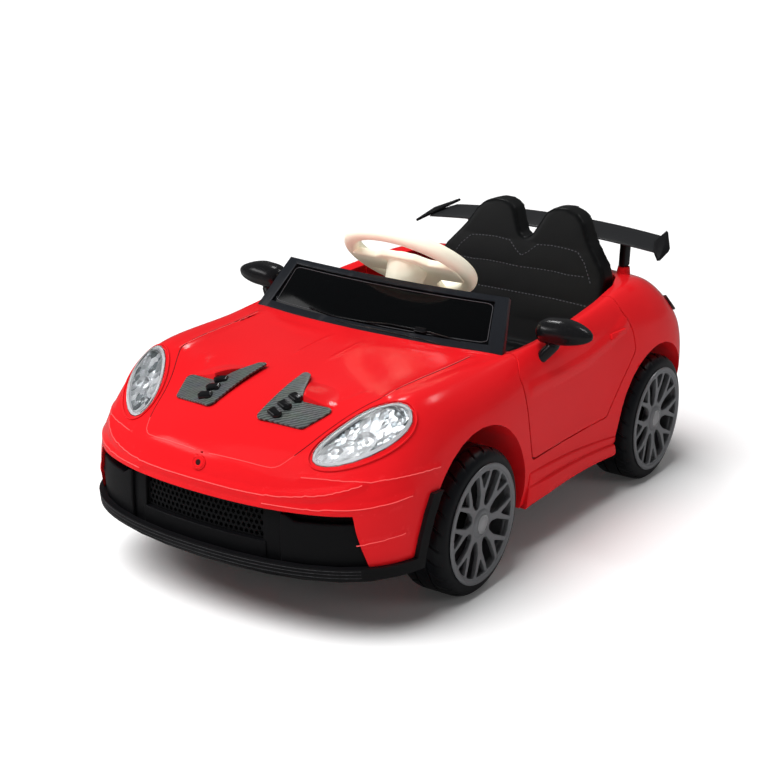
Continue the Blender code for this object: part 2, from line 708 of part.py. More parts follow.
def build_vents(black):
    for side, end in ((1, "left"), (-1, "right")):
        block = prism([vent_outline()], 0.20, 0.45, "Z")
        blocks = []
        for x, station in VENT_BLOCKS:
            blocks.append(cylinder(0.0075, (x, at(station), 0.25), (x, at(station), 0.40), 12))
        vent = common(skin(VENT_HEIGHT, FIT), block)
        studs = skin(VENT_HEIGHT + 0.008, VENT_HEIGHT - 0.001)
        joined = blocks[0]
        join(joined, *blocks[1:])
        common(studs, joined)
        join(vent, studs)
        if side < 0:
            right = mirrored(vent)
            bpy.data.objects.remove(vent, do_unlink=True)
            vent = right
        as_part(vent, f"hood_vent_{end}", black, 35)


def screen_point(u, v, depth):
    """A point of the windscreen: u across from -1 to 1, v up from 0 to 1, depth rearwards."""
    base = Vector((SCREEN_BASE_HALF * u, at(SCREEN_BASE_STATION + SCREEN_BASE_BOW * u * u), SCREEN_BASE_Z))
    top = Vector((SCREEN_TOP_HALF * u, at(SCREEN_TOP_STATION + SCREEN_TOP_BOW * u * u), SCREEN_TOP_Z))
    rise = (top - base).normalized()
    back = Vector((0, rise.z, -rise.y)).normalized()
    return base + (top - base) * v + back * depth


def screen_patch(u_reach, low, high, front, back, columns=8):
    """A curved slab that follows the windscreen between two heights and two depths."""
    bm = bmesh.new()
    grid = []
    for i in range(columns + 1):
        u = u_reach * (2 * i / columns - 1)
        grid.append([
            bm.verts.new(screen_point(u, low, front)), bm.verts.new(screen_point(u, high, front)),
            bm.verts.new(screen_point(u, high, back)), bm.verts.new(screen_point(u, low, back)),
        ])
    for here, there in zip(grid, grid[1:]):
        for k in range(4):
            n = (k + 1) % 4
            bm.faces.new((here[k], there[k], there[n], here[n]))
    bm.faces.new(grid[0])
    bm.faces.new(reversed(grid[-1]))
    return from_bmesh("screen", bm)


def build_windscreen(black, glass):
    frame = screen_patch(1.0, -0.30, 1.0, 0.0, SCREEN_DEPTH)
    cut(frame, hull(FIT))
    cut(frame, screen_patch(PANE_REACH, PANE_LOW, PANE_HIGH, -0.01, SCREEN_DEPTH + 0.01))
    cut(frame, box((-0.3, at(0.0), 0.20), (0.3, at(0.30), SCREEN_BASE_Z - 0.004)))
    as_part(frame, "windscreen_frame", black, 35)
    across = FIT / SCREEN_TOP_HALF
    up = 1.3 * FIT / (SCREEN_TOP_Z - SCREEN_BASE_Z)
    pane = screen_patch(PANE_REACH - across, PANE_LOW + up, PANE_HIGH - up, 0.003, 0.006)
    as_part(pane, "windscreen_pane", glass, 35)


def build_dashboard(black):
    dash = box((-0.222, at(0.120), 0.262), (0.222, at(0.222), 0.326), 0.006)
    common(dash, inner_hull(-WALL - FIT))
    cowl = box((-0.075, at(0.164), 0.300), (0.075, at(0.226), 0.350), 0.008)
    join(dash, cowl)
    cut(dash, cylinder(COLUMN_RADIUS + RUNNING_FIT, column_point(0.05), column_point(0.40), 24))
    cut(dash, cylinder(SWITCH_RADIUS + FIT, (-0.10, at(0.20), 0.300), (-0.10, at(0.24), 0.300), 20))
    cut(dash, box((0.088, at(0.205), 0.2905), (0.112, at(0.24), 0.3135)))
    as_part(dash, "dashboard", black, 30)


def column_point(distance):
    """A point on the steering column's axis, measured up from the level of its crank."""
    crank_drop = Vector((0, math.sin(COLUMN_TILT), -math.cos(COLUMN_TILT)))
    foot = Vector((0, at(STEER_ARM_LENGTH), TIE_ROD_Z)) - crank_drop * STEER_ARM_LENGTH
    return foot + Vector((0, math.cos(COLUMN_TILT), math.sin(COLUMN_TILT))) * distance


def build_steering(steel, cream, grey):
    crank_drop = Vector((0, math.sin(COLUMN_TILT), -math.cos(COLUMN_TILT)))
    up = Vector((0, math.cos(COLUMN_TILT), math.sin(COLUMN_TILT)))
    elbow = column_point(CRANK_LIFT)
    tip = elbow + crank_drop * STEER_ARM_LENGTH
    shaft = cylinder(COLUMN_RADIUS, elbow - up * 0.006, column_point(COLUMN_LENGTH - 0.014), 20)
    arm = cylinder(0.0048, elbow - crank_drop * 0.002, tip + crank_drop * 0.004, 12)
    pin = cylinder(TIE_PIN_RADIUS, tip + up * 0.003, tip - up * (CRANK_LIFT + 0.011), 16)
    join(shaft, arm, pin)
    as_part(shaft, "steering_column", steel, 35)

    centre = column_point(COLUMN_LENGTH)
    turn = up.to_track_quat("Z", "Y").to_matrix().to_4x4()
    frame = Matrix.Translation(centre) @ turn
    bm = bmesh.new()
    ring_steps, tube_steps = 24, 8
    rings = []
    for i in range(ring_steps):
        a = 2 * math.pi * i / ring_steps
        ring = []
        for k in range(tube_steps):
            b = 2 * math.pi * k / tube_steps
            reach = STEER_RADIUS + STEER_TUBE * math.cos(b)
            ring.append(bm.verts.new(Vector((reach * math.cos(a), reach * math.sin(a), STEER_TUBE * math.sin(b)))))
        rings.append(ring)
    for i in range(ring_steps):
        here, there = rings[i], rings[(i + 1) % ring_steps]
        for k in range(tube_steps):
            n = (k + 1) % tube_steps
            bm.faces.new((here[k], there[k], there[n], here[n]))
    wheel = from_bmesh("rim", bm)
    hub = cylinder(0.034, (0, 0, -0.022), (0, 0, 0.002), 24)
    bar = box((-STEER_RADIUS, -0.021, -0.014), (STEER_RADIUS, 0.021, -0.003), 0.003)
    low_bar = box((-0.019, -STEER_RADIUS, -0.014), (0.019, 0.0, -0.003), 0.003)
    join(wheel, hub, bar, low_bar)
    cut(wheel, cylinder(HORN_RADIUS + FIT, (0, 0, -0.006), (0, 0, 0.02), 20))
    cut(wheel, cylinder(COLUMN_RADIUS + FIT, (0, 0, -0.04), (0, 0, -0.0135), 20))
    moved_to(wheel, frame)
    as_part(wheel, "steering_wheel", cream, 35)
    horn = cylinder(HORN_RADIUS, (0, 0, -0.0025), (0, 0, 0.0055), 20, HORN_RADIUS - 0.0015)
    moved_to(horn, frame)
    as_part(horn, "horn_button", grey, 35)


def build_front_axle(black, steel):
    beam = box((-BEAM_HALF, at(-0.012), 0.126), (BEAM_HALF, at(0.012), 0.150))
    for side in (-1, 1):
        x = side * KINGPIN_X
        web = sorted((side * (BEAM_HALF - 0.006), side * (BEAM_HALF + 0.001)))
        join(beam, box((web[0], at(-0.012), LOWER_EYE), (web[1], at(0.012), UPPER_EYE + EYE_THICKNESS)))
        reach = sorted((side * (BEAM_HALF - 0.004), side * (KINGPIN_X + 0.011)))
        for low in (LOWER_EYE, UPPER_EYE):
            join(beam, box((reach[0], at(-0.0115), low), (reach[1], at(0.0115), low + EYE_THICKNESS)))
        cut(beam, cylinder(KINGPIN_RADIUS + RUNNING_FIT, (x, at(0), 0.05), (x, at(0), 0.20), 16))
        foot_x = side * 0.075
        join(beam, box((foot_x - 0.015, at(-0.011), FLOOR_TOP + FIT), (foot_x + 0.015, at(0.011), 0.130)))
    as_part(beam, "front_axle_beam", black, 30)

    sleeve_low = LOWER_EYE + EYE_THICKNESS + RUNNING_FIT
    sleeve_high = UPPER_EYE - RUNNING_FIT
    for side, end in ((1, "left"), (-1, "right")):
        x = side * KINGPIN_X
        knuckle = cylinder(KINGPIN_SLEEVE_RADIUS, (x, at(0), sleeve_low), (x, at(0), sleeve_high), 24)
        pin_top = UPPER_EYE + EYE_THICKNESS + 0.004
        join(knuckle, cylinder(KINGPIN_RADIUS, (x, at(0), LOWER_EYE - 0.002), (x, at(0), pin_top), 16))
        join(knuckle, cylinder(AXLE_RADIUS, (x, at(0), WHEEL_RADIUS), (side * AXLE_END, at(0), WHEEL_RADIUS), 20))
        arm_low = TIE_ROD_Z + TIE_ROD_HALF_HEIGHT + RUNNING_FIT
        join(knuckle, box((x - 0.007, at(0.0), arm_low), (x + 0.007, at(STEER_ARM_LENGTH + 0.008), arm_low + 0.008)))
        pin_y = at(STEER_ARM_LENGTH)
        join(knuckle, cylinder(TIE_PIN_RADIUS, (x, pin_y, TIE_ROD_Z - 0.008), (x, pin_y, arm_low + 0.004), 16))
        as_part(knuckle, f"steering_knuckle_{end}", steel, 35)

    y = at(STEER_ARM_LENGTH)
    low, high = TIE_ROD_Z - TIE_ROD_HALF_HEIGHT, TIE_ROD_Z + TIE_ROD_HALF_HEIGHT
    rod = box((-KINGPIN_X, y - 0.006, low), (KINGPIN_X, y + 0.006, high))
    for side in (-1, 1):
        join(rod, cylinder(0.010, (side * KINGPIN_X, y, low), (side * KINGPIN_X, y, high), 14))
    join(rod, box((-0.014, y - 0.019, low), (0.014, y + 0.019, high)))
    slot = TIE_PIN_RADIUS + 0.0014
    cut(rod, box((-slot, y - 0.0135, low - 0.01), (slot, y + 0.0135, high + 0.01)))
    cut(rod, cylinder(TIE_PIN_RADIUS + RUNNING_FIT, (KINGPIN_X, y, 0.05), (KINGPIN_X, y, 0.10), 16))
    cut(rod, cylinder(TIE_PIN_RADIUS + 0.0016, (-KINGPIN_X, y, 0.05), (-KINGPIN_X, y, 0.10), 16))
    as_part(rod, "tie_rod", steel, 35)


def build_rear_axle(steel, black):
    y = at(WHEELBASE)
    axle = cylinder(AXLE_RADIUS, (-AXLE_END, y, WHEEL_RADIUS), (AXLE_END, y, WHEEL_RADIUS), 20)
    as_part(axle, "rear_axle", steel, 35)
    for side, end in ((1, "left"), (-1, "right")):
        near, far = sorted((side * (WELL_INNER_X + WALL + FIT), side * (WHEEL_INNER_X - 0.0012)))
        case = box((near, y - 0.040, 0.072), (far, y + 0.050, 0.150), 0.006)
        cut(case, cylinder(AXLE_RADIUS + FIT, (side * 0.12, y, WHEEL_RADIUS), (side * 0.25, y, WHEEL_RADIUS), 20))
        as_part(case, f"drive_gearbox_{end}", black, 30)


def build_floor(black, grey):
    floor = box((-0.32, at(FLOOR_FRONT), FLOOR_TOP - FLOOR_THICKNESS), (0.32, at(FLOOR_REAR), FLOOR_TOP))
    common(floor, inner_hull(-WALL - FIT))
    for station, radius in ((0.0, ARCH_RADIUS), (WHEELBASE, REAR_ARCH_RADIUS)):
        cut(floor, *both_sides(lambda: arch_block(radius + WALL + FIT, station, WELL_INNER_X - FIT)))
    wall = 0.004
    tray = box(
        (-PEDESTAL_HALF_WIDTH, at(PEDESTAL_FRONT), FLOOR_TOP - 0.002),
        (PEDESTAL_HALF_WIDTH, at(PEDESTAL_REAR), SEAT_BASE_BOTTOM - FIT),
    )
    cut(tray, box(
        (-PEDESTAL_HALF_WIDTH + wall, at(PEDESTAL_FRONT) + wall, FLOOR_TOP),
        (PEDESTAL_HALF_WIDTH - wall, at(PEDESTAL_REAR) - wall, 0.25),
    ))
    join(floor, tray)
    for side in (-1, 1):
        x = side * 0.118
        foot, head = (x - 0.008, at(WHEELBASE - 0.018), FLOOR_TOP - 0.002), (x + 0.008, at(WHEELBASE + 0.018), 0.136)
        join(floor, box(foot, head))
    axle_hole = cylinder(AXLE_RADIUS + FIT, (-0.2, at(WHEELBASE), WHEEL_RADIUS), (0.2, at(WHEELBASE), WHEEL_RADIUS), 20)
    cut(floor, axle_hole)
    bearing = box((-0.014, at(0.086), FLOOR_TOP - 0.002), (0.014, at(0.106), 0.245))
    join(floor, bearing)
    cut(floor, cylinder(COLUMN_RADIUS + RUNNING_FIT, column_point(0.02), column_point(0.30), 20))
    cut(floor, box((-0.040, at(-0.002), 0.05), (0.040, at(0.076), FLOOR_TOP + 0.001)))
    seat_of_pedal = box((PEDAL_X - 0.025, at(0.125), FLOOR_TOP - 0.002), (PEDAL_X + 0.025, at(0.150), PEDAL_PIN_Z))
    join(floor, seat_of_pedal)
    cut(floor, pedal_pin(PEDAL_PIN_RADIUS + FIT, 0.03))
    as_part(floor, "floor_pan", black, 30)
    length, depth, height = BATTERY_SIZE
    battery = box(
        (-length / 2, at(0.43), FLOOR_TOP + FIT), (length / 2, at(0.43) + depth, FLOOR_TOP + FIT + height), 0.003
    )
    as_part(battery, "battery", grey, 30)


def pedal_pin(radius, half_length):
    """The round bar that the pedal turns on, or the groove for it."""
    ends = [(PEDAL_X + reach, at(PEDAL_STATION), PEDAL_PIN_Z) for reach in (-half_length, half_length)]
    return cylinder(radius, *ends, 16)


def build_pedal(black):
    """The accelerator: a plate on a pin that rocks in a groove of the floor."""
    pin = pedal_pin(PEDAL_PIN_RADIUS, 0.023)
    plate = box((PEDAL_X - 0.022, -0.002, 0.0), (PEDAL_X + 0.022, 0.085, 0.006), 0.002)
    tilt = Matrix.Translation((0, at(PEDAL_STATION), PEDAL_PIN_Z)) @ Matrix.Rotation(math.radians(28), 4, "X")
    moved_to(plate, tilt)
    join(plate, pin)
    as_part(plate, "accelerator_pedal", black, 30)


def build_seat(black):
    half = [
        (0.0, 0.404), (0.010, 0.407), (0.022, 0.428), (0.032, 0.451), (0.048, 0.462), (0.075, 0.464),
        (0.097, 0.457), (0.112, 0.443), (0.129, 0.413), (0.145, 0.393), (0.162, 0.373), (0.172, 0.356),
        (0.176, 0.335), (0.170, 0.275), (0.160, 0.2605), (0.1455, 0.2603), (0.1455, SEAT_BASE_BOTTOM + 0.001),
    ]
    outline = half + [(-x, z) for x, z in reversed(half[1:])]
    back = prism([outline], at(SEAT_BACK_STATION), at(SEAT_BACK_STATION) + SEAT_BACK_THICKNESS, "Y")
    for vertex in back.data.vertices:
        vertex.co.y += (vertex.co.z - SEAT_BASE_TOP) * SEAT_LEAN
    base = box(
        (-SEAT_BASE_HALF_WIDTH, at(SEAT_BASE_FRONT), SEAT_BASE_BOTTOM),
        (SEAT_BASE_HALF_WIDTH, at(SEAT_BACK_STATION + 0.02), SEAT_BASE_TOP), 0.008,
    )
    join(back, base)
    cut(back, *both_sides(lambda: arch_block(REAR_ARCH_RADIUS + WALL + FIT, WHEELBASE, WELL_INNER_X - FIT)))
    as_part(back, "seat", black, 30)


def wing_blade(thickness):
    """The arched blade of the rear wing, narrower at its trailing edge."""
    bm = bmesh.new()
    grid = []
    columns = 10
    chord = [0.0, 0.3, 1.0]
    for i in range(columns + 1):
        u = 2 * i / columns - 1
        lift = WING_ARCH * (1 - u * u)
        ring = []
        for side, steps in ((1, chord), (-1, reversed(chord))):
            for t in steps:
                half, station, z = (a + t * (b - a) for a, b in zip(WING_LEADING, WING_TRAILING))
                half_body = thickness * (0.3 + 0.9 * t * (1 - t))
                ring.append(bm.verts.new((half * u, at(station), z + lift + side * half_body)))
        grid.append(ring)
    count = len(grid[0])
    for here, there in zip(grid, grid[1:]):
        for k in range(count):
            n = (k + 1) % count
            bm.faces.new((here[k], there[k], there[n], here[n]))
    bm.faces.new(grid[0])
    bm.faces.new(reversed(grid[-1]))
    return from_bmesh("blade", bm)


def winglet():
    """The canted plate at the blade's left end."""
    corners = [Vector((x, at(station), z)) for x, station, z in WINGLET]
    normal = (corners[2] - corners[0]).cross(corners[6] - corners[0]).normalized()
    bm = bmesh.new()
    rings = [
        [bm.verts.new(corner + normal * reach) for corner in corners]
        for reach in (-WINGLET_THICKNESS / 2, WINGLET_THICKNESS / 2)
    ]
    for i in range(len(corners)):
        j = (i + 1) % len(corners)
        bm.faces.new((rings[0][i], rings[0][j], rings[1][j], rings[1][i]))
    for ring in rings:
        bm.faces.new(ring)
    return from_bmesh("winglet", bm)


def build_wing(black):
    wing = wing_blade(WING_THICKNESS)
    join(wing, *both_sides(winglet))
    as_part(wing, "rear_wing", black, 35)
    for side, end in ((1, "left"), (-1, "right")):
        x = side * WING_POST_X
        y = at(WING_POST_STATION)
        post = box((x - 0.006, y - 0.013, COLLAR_TOP + FIT), (x + 0.006, y + 0.013, 0.440), 0.002)
        blade = wing_blade(WING_THICKNESS + 2 * FIT)
        above = box((x - 0.02, y - 0.03, 0.414), (x + 0.02, y + 0.03, 0.46))
        cut(post, blade, above)
        as_part(post, f"wing_post_{end}", black, 35)


def hinge_frame(side):
    """The door hinge's own frame: its Z runs along the hinge line, its Y rearwards."""
    place_at = Matrix.Translation((side * HINGE_X, at(HINGE_STATION), HINGE_Z))
    return place_at @ Matrix.Rotation(HINGE_SLANT, 4, "X")


def build_doors(red, steel):
    """Both doors, hinged on a slanted pin just ahead of their front edge."""
    for side, end in ((1, "left"), (-1, "right")):
        door = common(skin(0.0, -WALL), door_prism(DOOR_GAP))
        cut(door, prism([cockpit_outline()], 0.28, 0.50, "Z"))
        frame = hinge_frame(1)
        arm = box((-0.0085, -0.001, -0.022), (-0.0035, 0.036, 0.022))
        pad = box((-0.0085, 0.026, -0.022), (0.030, 0.036, 0.022))
        tube = cylinder(HINGE_TUBE_RADIUS, (0, 0, -HINGE_HALF_LENGTH), (0, 0, HINGE_HALF_LENGTH), 20)
        web = box((-0.0085, -0.002, -0.022), (0.0, 0.003, 0.022))
        join(tube, web, arm, pad)
        moved_to(tube, frame)
        common(tube, hull(-0.001, 0.02))
        join(door, tube)
        bore = cylinder(HINGE_PIN_RADIUS + RUNNING_FIT, (0, 0, -0.05), (0, 0, 0.05), 16)
        cut(door, moved_to(bore, frame))
        if side < 0:
            left = door
            door = mirrored(left)
            bpy.data.objects.remove(left, do_unlink=True)
        as_part(door, f"door_{end}", red, 35)

        reach = HINGE_HALF_LENGTH + RUNNING_FIT
        pin = cylinder(HINGE_PIN_RADIUS, (0, 0, -reach - HINGE_EAR), (0, 0, reach + HINGE_EAR), 16)
        bracket = box((-0.005, -0.024, -reach - HINGE_EAR), (0.030, -0.008, reach + HINGE_EAR))
        join(bracket, *[
            box((-0.005, -0.010, low), (0.005, 0.006, low + HINGE_EAR)) for low in (-reach - HINGE_EAR, reach)
        ])
        join(bracket, pin)
        moved_to(bracket, frame)
        common(bracket, inner_hull(-WALL - FIT))
        cut(bracket, arch_block(ARCH_RADIUS + WALL + FIT, 0.0, WELL_INNER_X - FIT))
        if side < 0:
            left = bracket
            bracket = mirrored(left)
            bpy.data.objects.remove(left, do_unlink=True)
        as_part(bracket, f"door_hinge_{end}", steel, 35)


def build_mirrors(black, silver):
    x, station, z = MIRROR_CENTRE
    centre = Vector((x, at(station), z))
    foot = Vector((MIRROR_FOOT[0], at(MIRROR_FOOT[1]), MIRROR_FOOT[2]))
    for side, end in ((1, "left"), (-1, "right")):
        bm = bmesh.new()
        bmesh.ops.create_uvsphere(bm, u_segments=14, v_segments=8, radius=1.0)
        bm.transform(Matrix.Rotation(math.radians(90), 4, "Y"))
        bm.transform(Matrix.Diagonal((*MIRROR_HALF, 1)))
        for vertex in bm.verts:
            vertex.co.z *= 1 - 0.20 * max(0.0, vertex.co.x / MIRROR_HALF[0])
        bm.transform(Matrix.Translation(centre) @ Matrix.Rotation(math.radians(-4), 4, "Y"))
        head = from_bmesh("head", bm)
        cut(head, box((0.2, centre.y + 0.013, 0.3), (0.5, centre.y + 0.1, 0.5)))
        join(head, cylinder(0.010, foot, centre + Vector((-0.016, 0.0, -0.004)), 12, 0.008))
        cut(head, hull(FIT))
        recess = []
        for step in range(16):
            angle = 2 * math.pi * step / 16
            recess.append((centre.x + 0.034 * math.cos(angle), centre.z + 0.014 * math.sin(angle)))
        cut(head, prism([recess], centre.y + 0.009, centre.y + 0.05, "Y"))
        glass = prism([grown(recess, -FIT)], centre.y + 0.009 + FIT, centre.y + 0.0115, "Y")
        if side < 0:
            spent = (head, glass)
            head, glass = mirrored(head), mirrored(glass)
            for old in spent:
                bpy.data.objects.remove(old, do_unlink=True)
        as_part(head, f"mirror_{end}", black, 40)
        as_part(glass, f"mirror_glass_{end}", silver, 40)


def build_controls(grey):
    button = cylinder(SWITCH_RADIUS, (-0.10, at(0.2055), 0.300), (-0.10, at(0.226), 0.300), 20)
    as_part(button, "power_button", grey, 35)
    rocker = box((0.0885, at(0.2085), 0.2925), (0.1115, at(0.226), 0.3115), 0.002)
    as_part(rocker, "direction_switch", grey, 30)


def spoke_windows():
    """The openings between the Y-shaped spokes, as outlines in the wheel's plane."""
    windows = []
    pitch = 2 * math.pi / SPOKE_COUNT
    half_fork = pitch / 4
    rim = SPOKE_WINDOW_RADIUS
    for i in range(SPOKE_COUNT):
        middle = i * pitch

        def spot(radius, angle):
            return (radius * math.cos(middle + angle), radius * math.sin(middle + angle))

        bar = SPOKE_HALF_WIDTH
        fork = SPOKE_FORK_RADIUS
        inside = [
            spot(fork + 2.3 * bar, 0.0), spot(rim, -(half_fork - bar / rim)), spot(rim, half_fork - bar / rim),
        ]
        windows.append(inside)
        gap = pitch / 2
        outside = [
            spot(HUB_RADIUS + 0.006, gap),
            spot(fork, 1.15 * bar / fork),
            spot(rim, half_fork + bar / rim), spot(rim, pitch - half_fork - bar / rim),
            spot(fork, pitch - 1.15 * bar / fork),
        ]
        windows.append(outside)
    return windows


def build_wheels(rubber, grey, silver):
    inner_x = WHEEL_INNER_X
    outer_x = WHEEL_OUTER_X
    for station, axle in ((0.0, "front"), (WHEELBASE, "rear")):
        for side, end in ((1, "left"), (-1, "right")):
            centre = (0, at(station), WHEEL_RADIUS)
            tyre = build_tyre(centre)
            rim_out = TYRE_INNER_RADIUS * math.cos(math.pi / (2 * TREAD_BLOCKS)) - FIT
            rim_in = rim_out - RIM_WALL
            flange = outer_x - TYRE_INSET + FIT
            disc_x = outer_x - RIM_DEPTH
            bore = AXLE_RADIUS + RUNNING_FIT
            cap_seat = outer_x - 0.006
            wheel = turned([
                (bore, inner_x + 0.004), (HUB_RADIUS, inner_x + 0.004), (HUB_RADIUS, disc_x), (rim_out, disc_x),
                (rim_out, flange), (RIM_RADIUS, flange), (RIM_RADIUS, outer_x + 0.001), (rim_in, outer_x),
                (rim_in, disc_x + RIM_WALL), (HUB_RADIUS, disc_x + RIM_WALL), (HUB_RADIUS, outer_x - 0.003),
                (CAP_RADIUS + FIT, outer_x - 0.003), (CAP_RADIUS + FIT, cap_seat), (bore, cap_seat),
            ], centre, "X", RIM_SIDES)
            rings = [circle(rim_in + 0.002, RIM_SIDES), circle(HUB_RADIUS - 0.002, RIM_SIDES)]
            face = prism(
                rings + spoke_windows(), outer_x - 0.002 - SPOKE_FACE_THICKNESS, outer_x - 0.002, "X"
            )
            moved_to(face, Matrix.Translation((0, at(station), WHEEL_RADIUS)))
            join(wheel, face)
            cap = prism([circle(CAP_RADIUS, RIM_SIDES)], cap_seat + FIT, outer_x, "X")
            moved_to(cap, Matrix.Translation((0, at(station), WHEEL_RADIUS)))
            pieces = {"tyre": (tyre, rubber), "wheel": (wheel, grey), "centre_cap": (cap, silver)}
            for kind, (piece, material) in pieces.items():
                if side < 0:
                    left = piece
                    piece = mirrored(left)
                    bpy.data.objects.remove(left, do_unlink=True)
                as_part(piece, f"{axle}_{kind}_{end}", material, 35)


def circle(radius, sides):
    return [
        (radius * math.cos(2 * math.pi * k / sides), radius * math.sin(2 * math.pi * k / sides)) for k in range(sides)
    ]


def build_tyre(centre):
    """A tyre with a full middle rib and alternating shoulder blocks; it stands on a flat of the rib."""
    bm = bmesh.new()
    steps = 2 * TREAD_BLOCKS
    crown = WHEEL_RADIUS / math.cos(math.pi / steps)
    rings = []
    middle = WHEEL_OUTER_X - TYRE_INSET - TYRE_WIDTH / 2
    half = TYRE_WIDTH / 2
    for step in range(steps):
        angle = 2 * math.pi * (step + 0.5) / steps
        groove = TREAD_DEPTH if step % 2 else 0.0
        profile = [
            (TYRE_INNER_RADIUS, -half), (WHEEL_RADIUS - 0.012, -half), (WHEEL_RADIUS - 0.003 - groove, -half + 0.008),
            (crown, -0.012), (crown, 0.012), (WHEEL_RADIUS - 0.003 - groove, half - 0.008),
            (WHEEL_RADIUS - 0.012, half), (TYRE_INNER_RADIUS, half),
        ]
        rings.append([
            bm.verts.new((middle + x, centre[1] + r * math.sin(angle), centre[2] - r * math.cos(angle))) for r, x in profile
        ])
    count = len(rings[0])
    for step in range(steps):
        here, there = rings[step], rings[(step + 1) % steps]
        for k in range(count):
            n = (k + 1) % count
            bm.faces.new((here[k], there[k], there[n], here[n]))
    return from_bmesh("tyre", bm)


def main():
    start_scene()
    red = make_material("body_red", (0.62, 0.012, 0.014), 0.25)
    black = make_material("satin_black", (0.012, 0.012, 0.014), 0.45)
    rubber = make_material("tyre_black", (0.010, 0.011, 0.014), 0.6)
    steel = make_material("steel", (0.45, 0.46, 0.48), 0.35, 1.0)
    grey = make_material("wheel_grey", (0.16, 0.16, 0.17), 0.3, 0.6)
    silver = make_material("silver", (0.5, 0.5, 0.5), 0.25, 0.9)
    cream = make_material("cream", (0.85, 0.76, 0.55), 0.4)
    glass = make_material("dark_pane", (0.01, 0.011, 0.012), 0.08)
    chrome = make_material("chrome", (0.8, 0.8, 0.82), 0.1, 1.0)
    clear = make_material("clear_lens", (0.9, 0.92, 0.95), 0.05)
    smoke = make_material("smoked_lens", (0.02, 0.01, 0.01), 0.1)
    build_body(red)
    build_doors(red, steel)
    build_floor(black, grey)
    build_front_trim(black)
    build_tail(black, smoke)
    build_headlights(chrome, clear)
    build_vents(black)
    build_windscreen(black, glass)
    build_dashboard(black)
    build_controls(grey)
    build_mirrors(black, silver)
    build_seat(black)
    build_wing(black)
    build_steering(steel, cream, grey)
    build_front_axle(black, steel)
    build_rear_axle(steel, black)
    build_wheels(rubber, grey, silver)
    build_pedal(black)


if __name__ == "__main__":
    main()
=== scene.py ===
"""Looks of a kids ride-on car, laid out as a Blender add-on and run as a script.

Metres, +Z up, the nose points to -Y and the car's left side is +X. Stations along the car are measured
rearwards from the front axle and pass through at().
"""

import functools
import json
import math

import bmesh
import bpy
from mathutils import Matrix, Vector
from mathutils.bvhtree import BVHTree
from mathutils.interpolate import poly_3d_calc


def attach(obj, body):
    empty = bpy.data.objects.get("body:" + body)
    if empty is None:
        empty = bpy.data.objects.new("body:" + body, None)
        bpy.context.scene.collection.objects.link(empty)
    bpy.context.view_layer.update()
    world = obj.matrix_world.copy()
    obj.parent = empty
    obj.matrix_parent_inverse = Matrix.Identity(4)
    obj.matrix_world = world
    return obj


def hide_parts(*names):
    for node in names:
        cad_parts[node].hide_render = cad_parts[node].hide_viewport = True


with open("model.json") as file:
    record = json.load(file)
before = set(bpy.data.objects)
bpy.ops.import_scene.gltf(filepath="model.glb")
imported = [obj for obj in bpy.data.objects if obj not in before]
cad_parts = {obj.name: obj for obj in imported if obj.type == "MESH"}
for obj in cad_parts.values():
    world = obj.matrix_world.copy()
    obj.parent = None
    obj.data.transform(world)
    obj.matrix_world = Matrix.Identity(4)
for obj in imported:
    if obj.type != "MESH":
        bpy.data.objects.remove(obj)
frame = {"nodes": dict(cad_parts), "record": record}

bl_info = {
    "name": "Kids ride-on car",
    "version": (1, 0, 0),
    "blender": (4, 5, 0),
    "location": "View3D > Sidebar > Ride-on",
    "description": "Builds the finished pieces of a battery ride-on car round its packed solids",
    "category": "Object",
}

FRONT_AXLE_Y = -0.258
WHEELBASE = 0.620
WHEEL_RADIUS = 0.115
WHEEL_OUTER_X = 0.298
SIDES = ((1, "left"), (-1, "right"))

# Wheel arches as (station, radius)
ARCHES = ((0.0, 0.150), (WHEELBASE, 0.140))

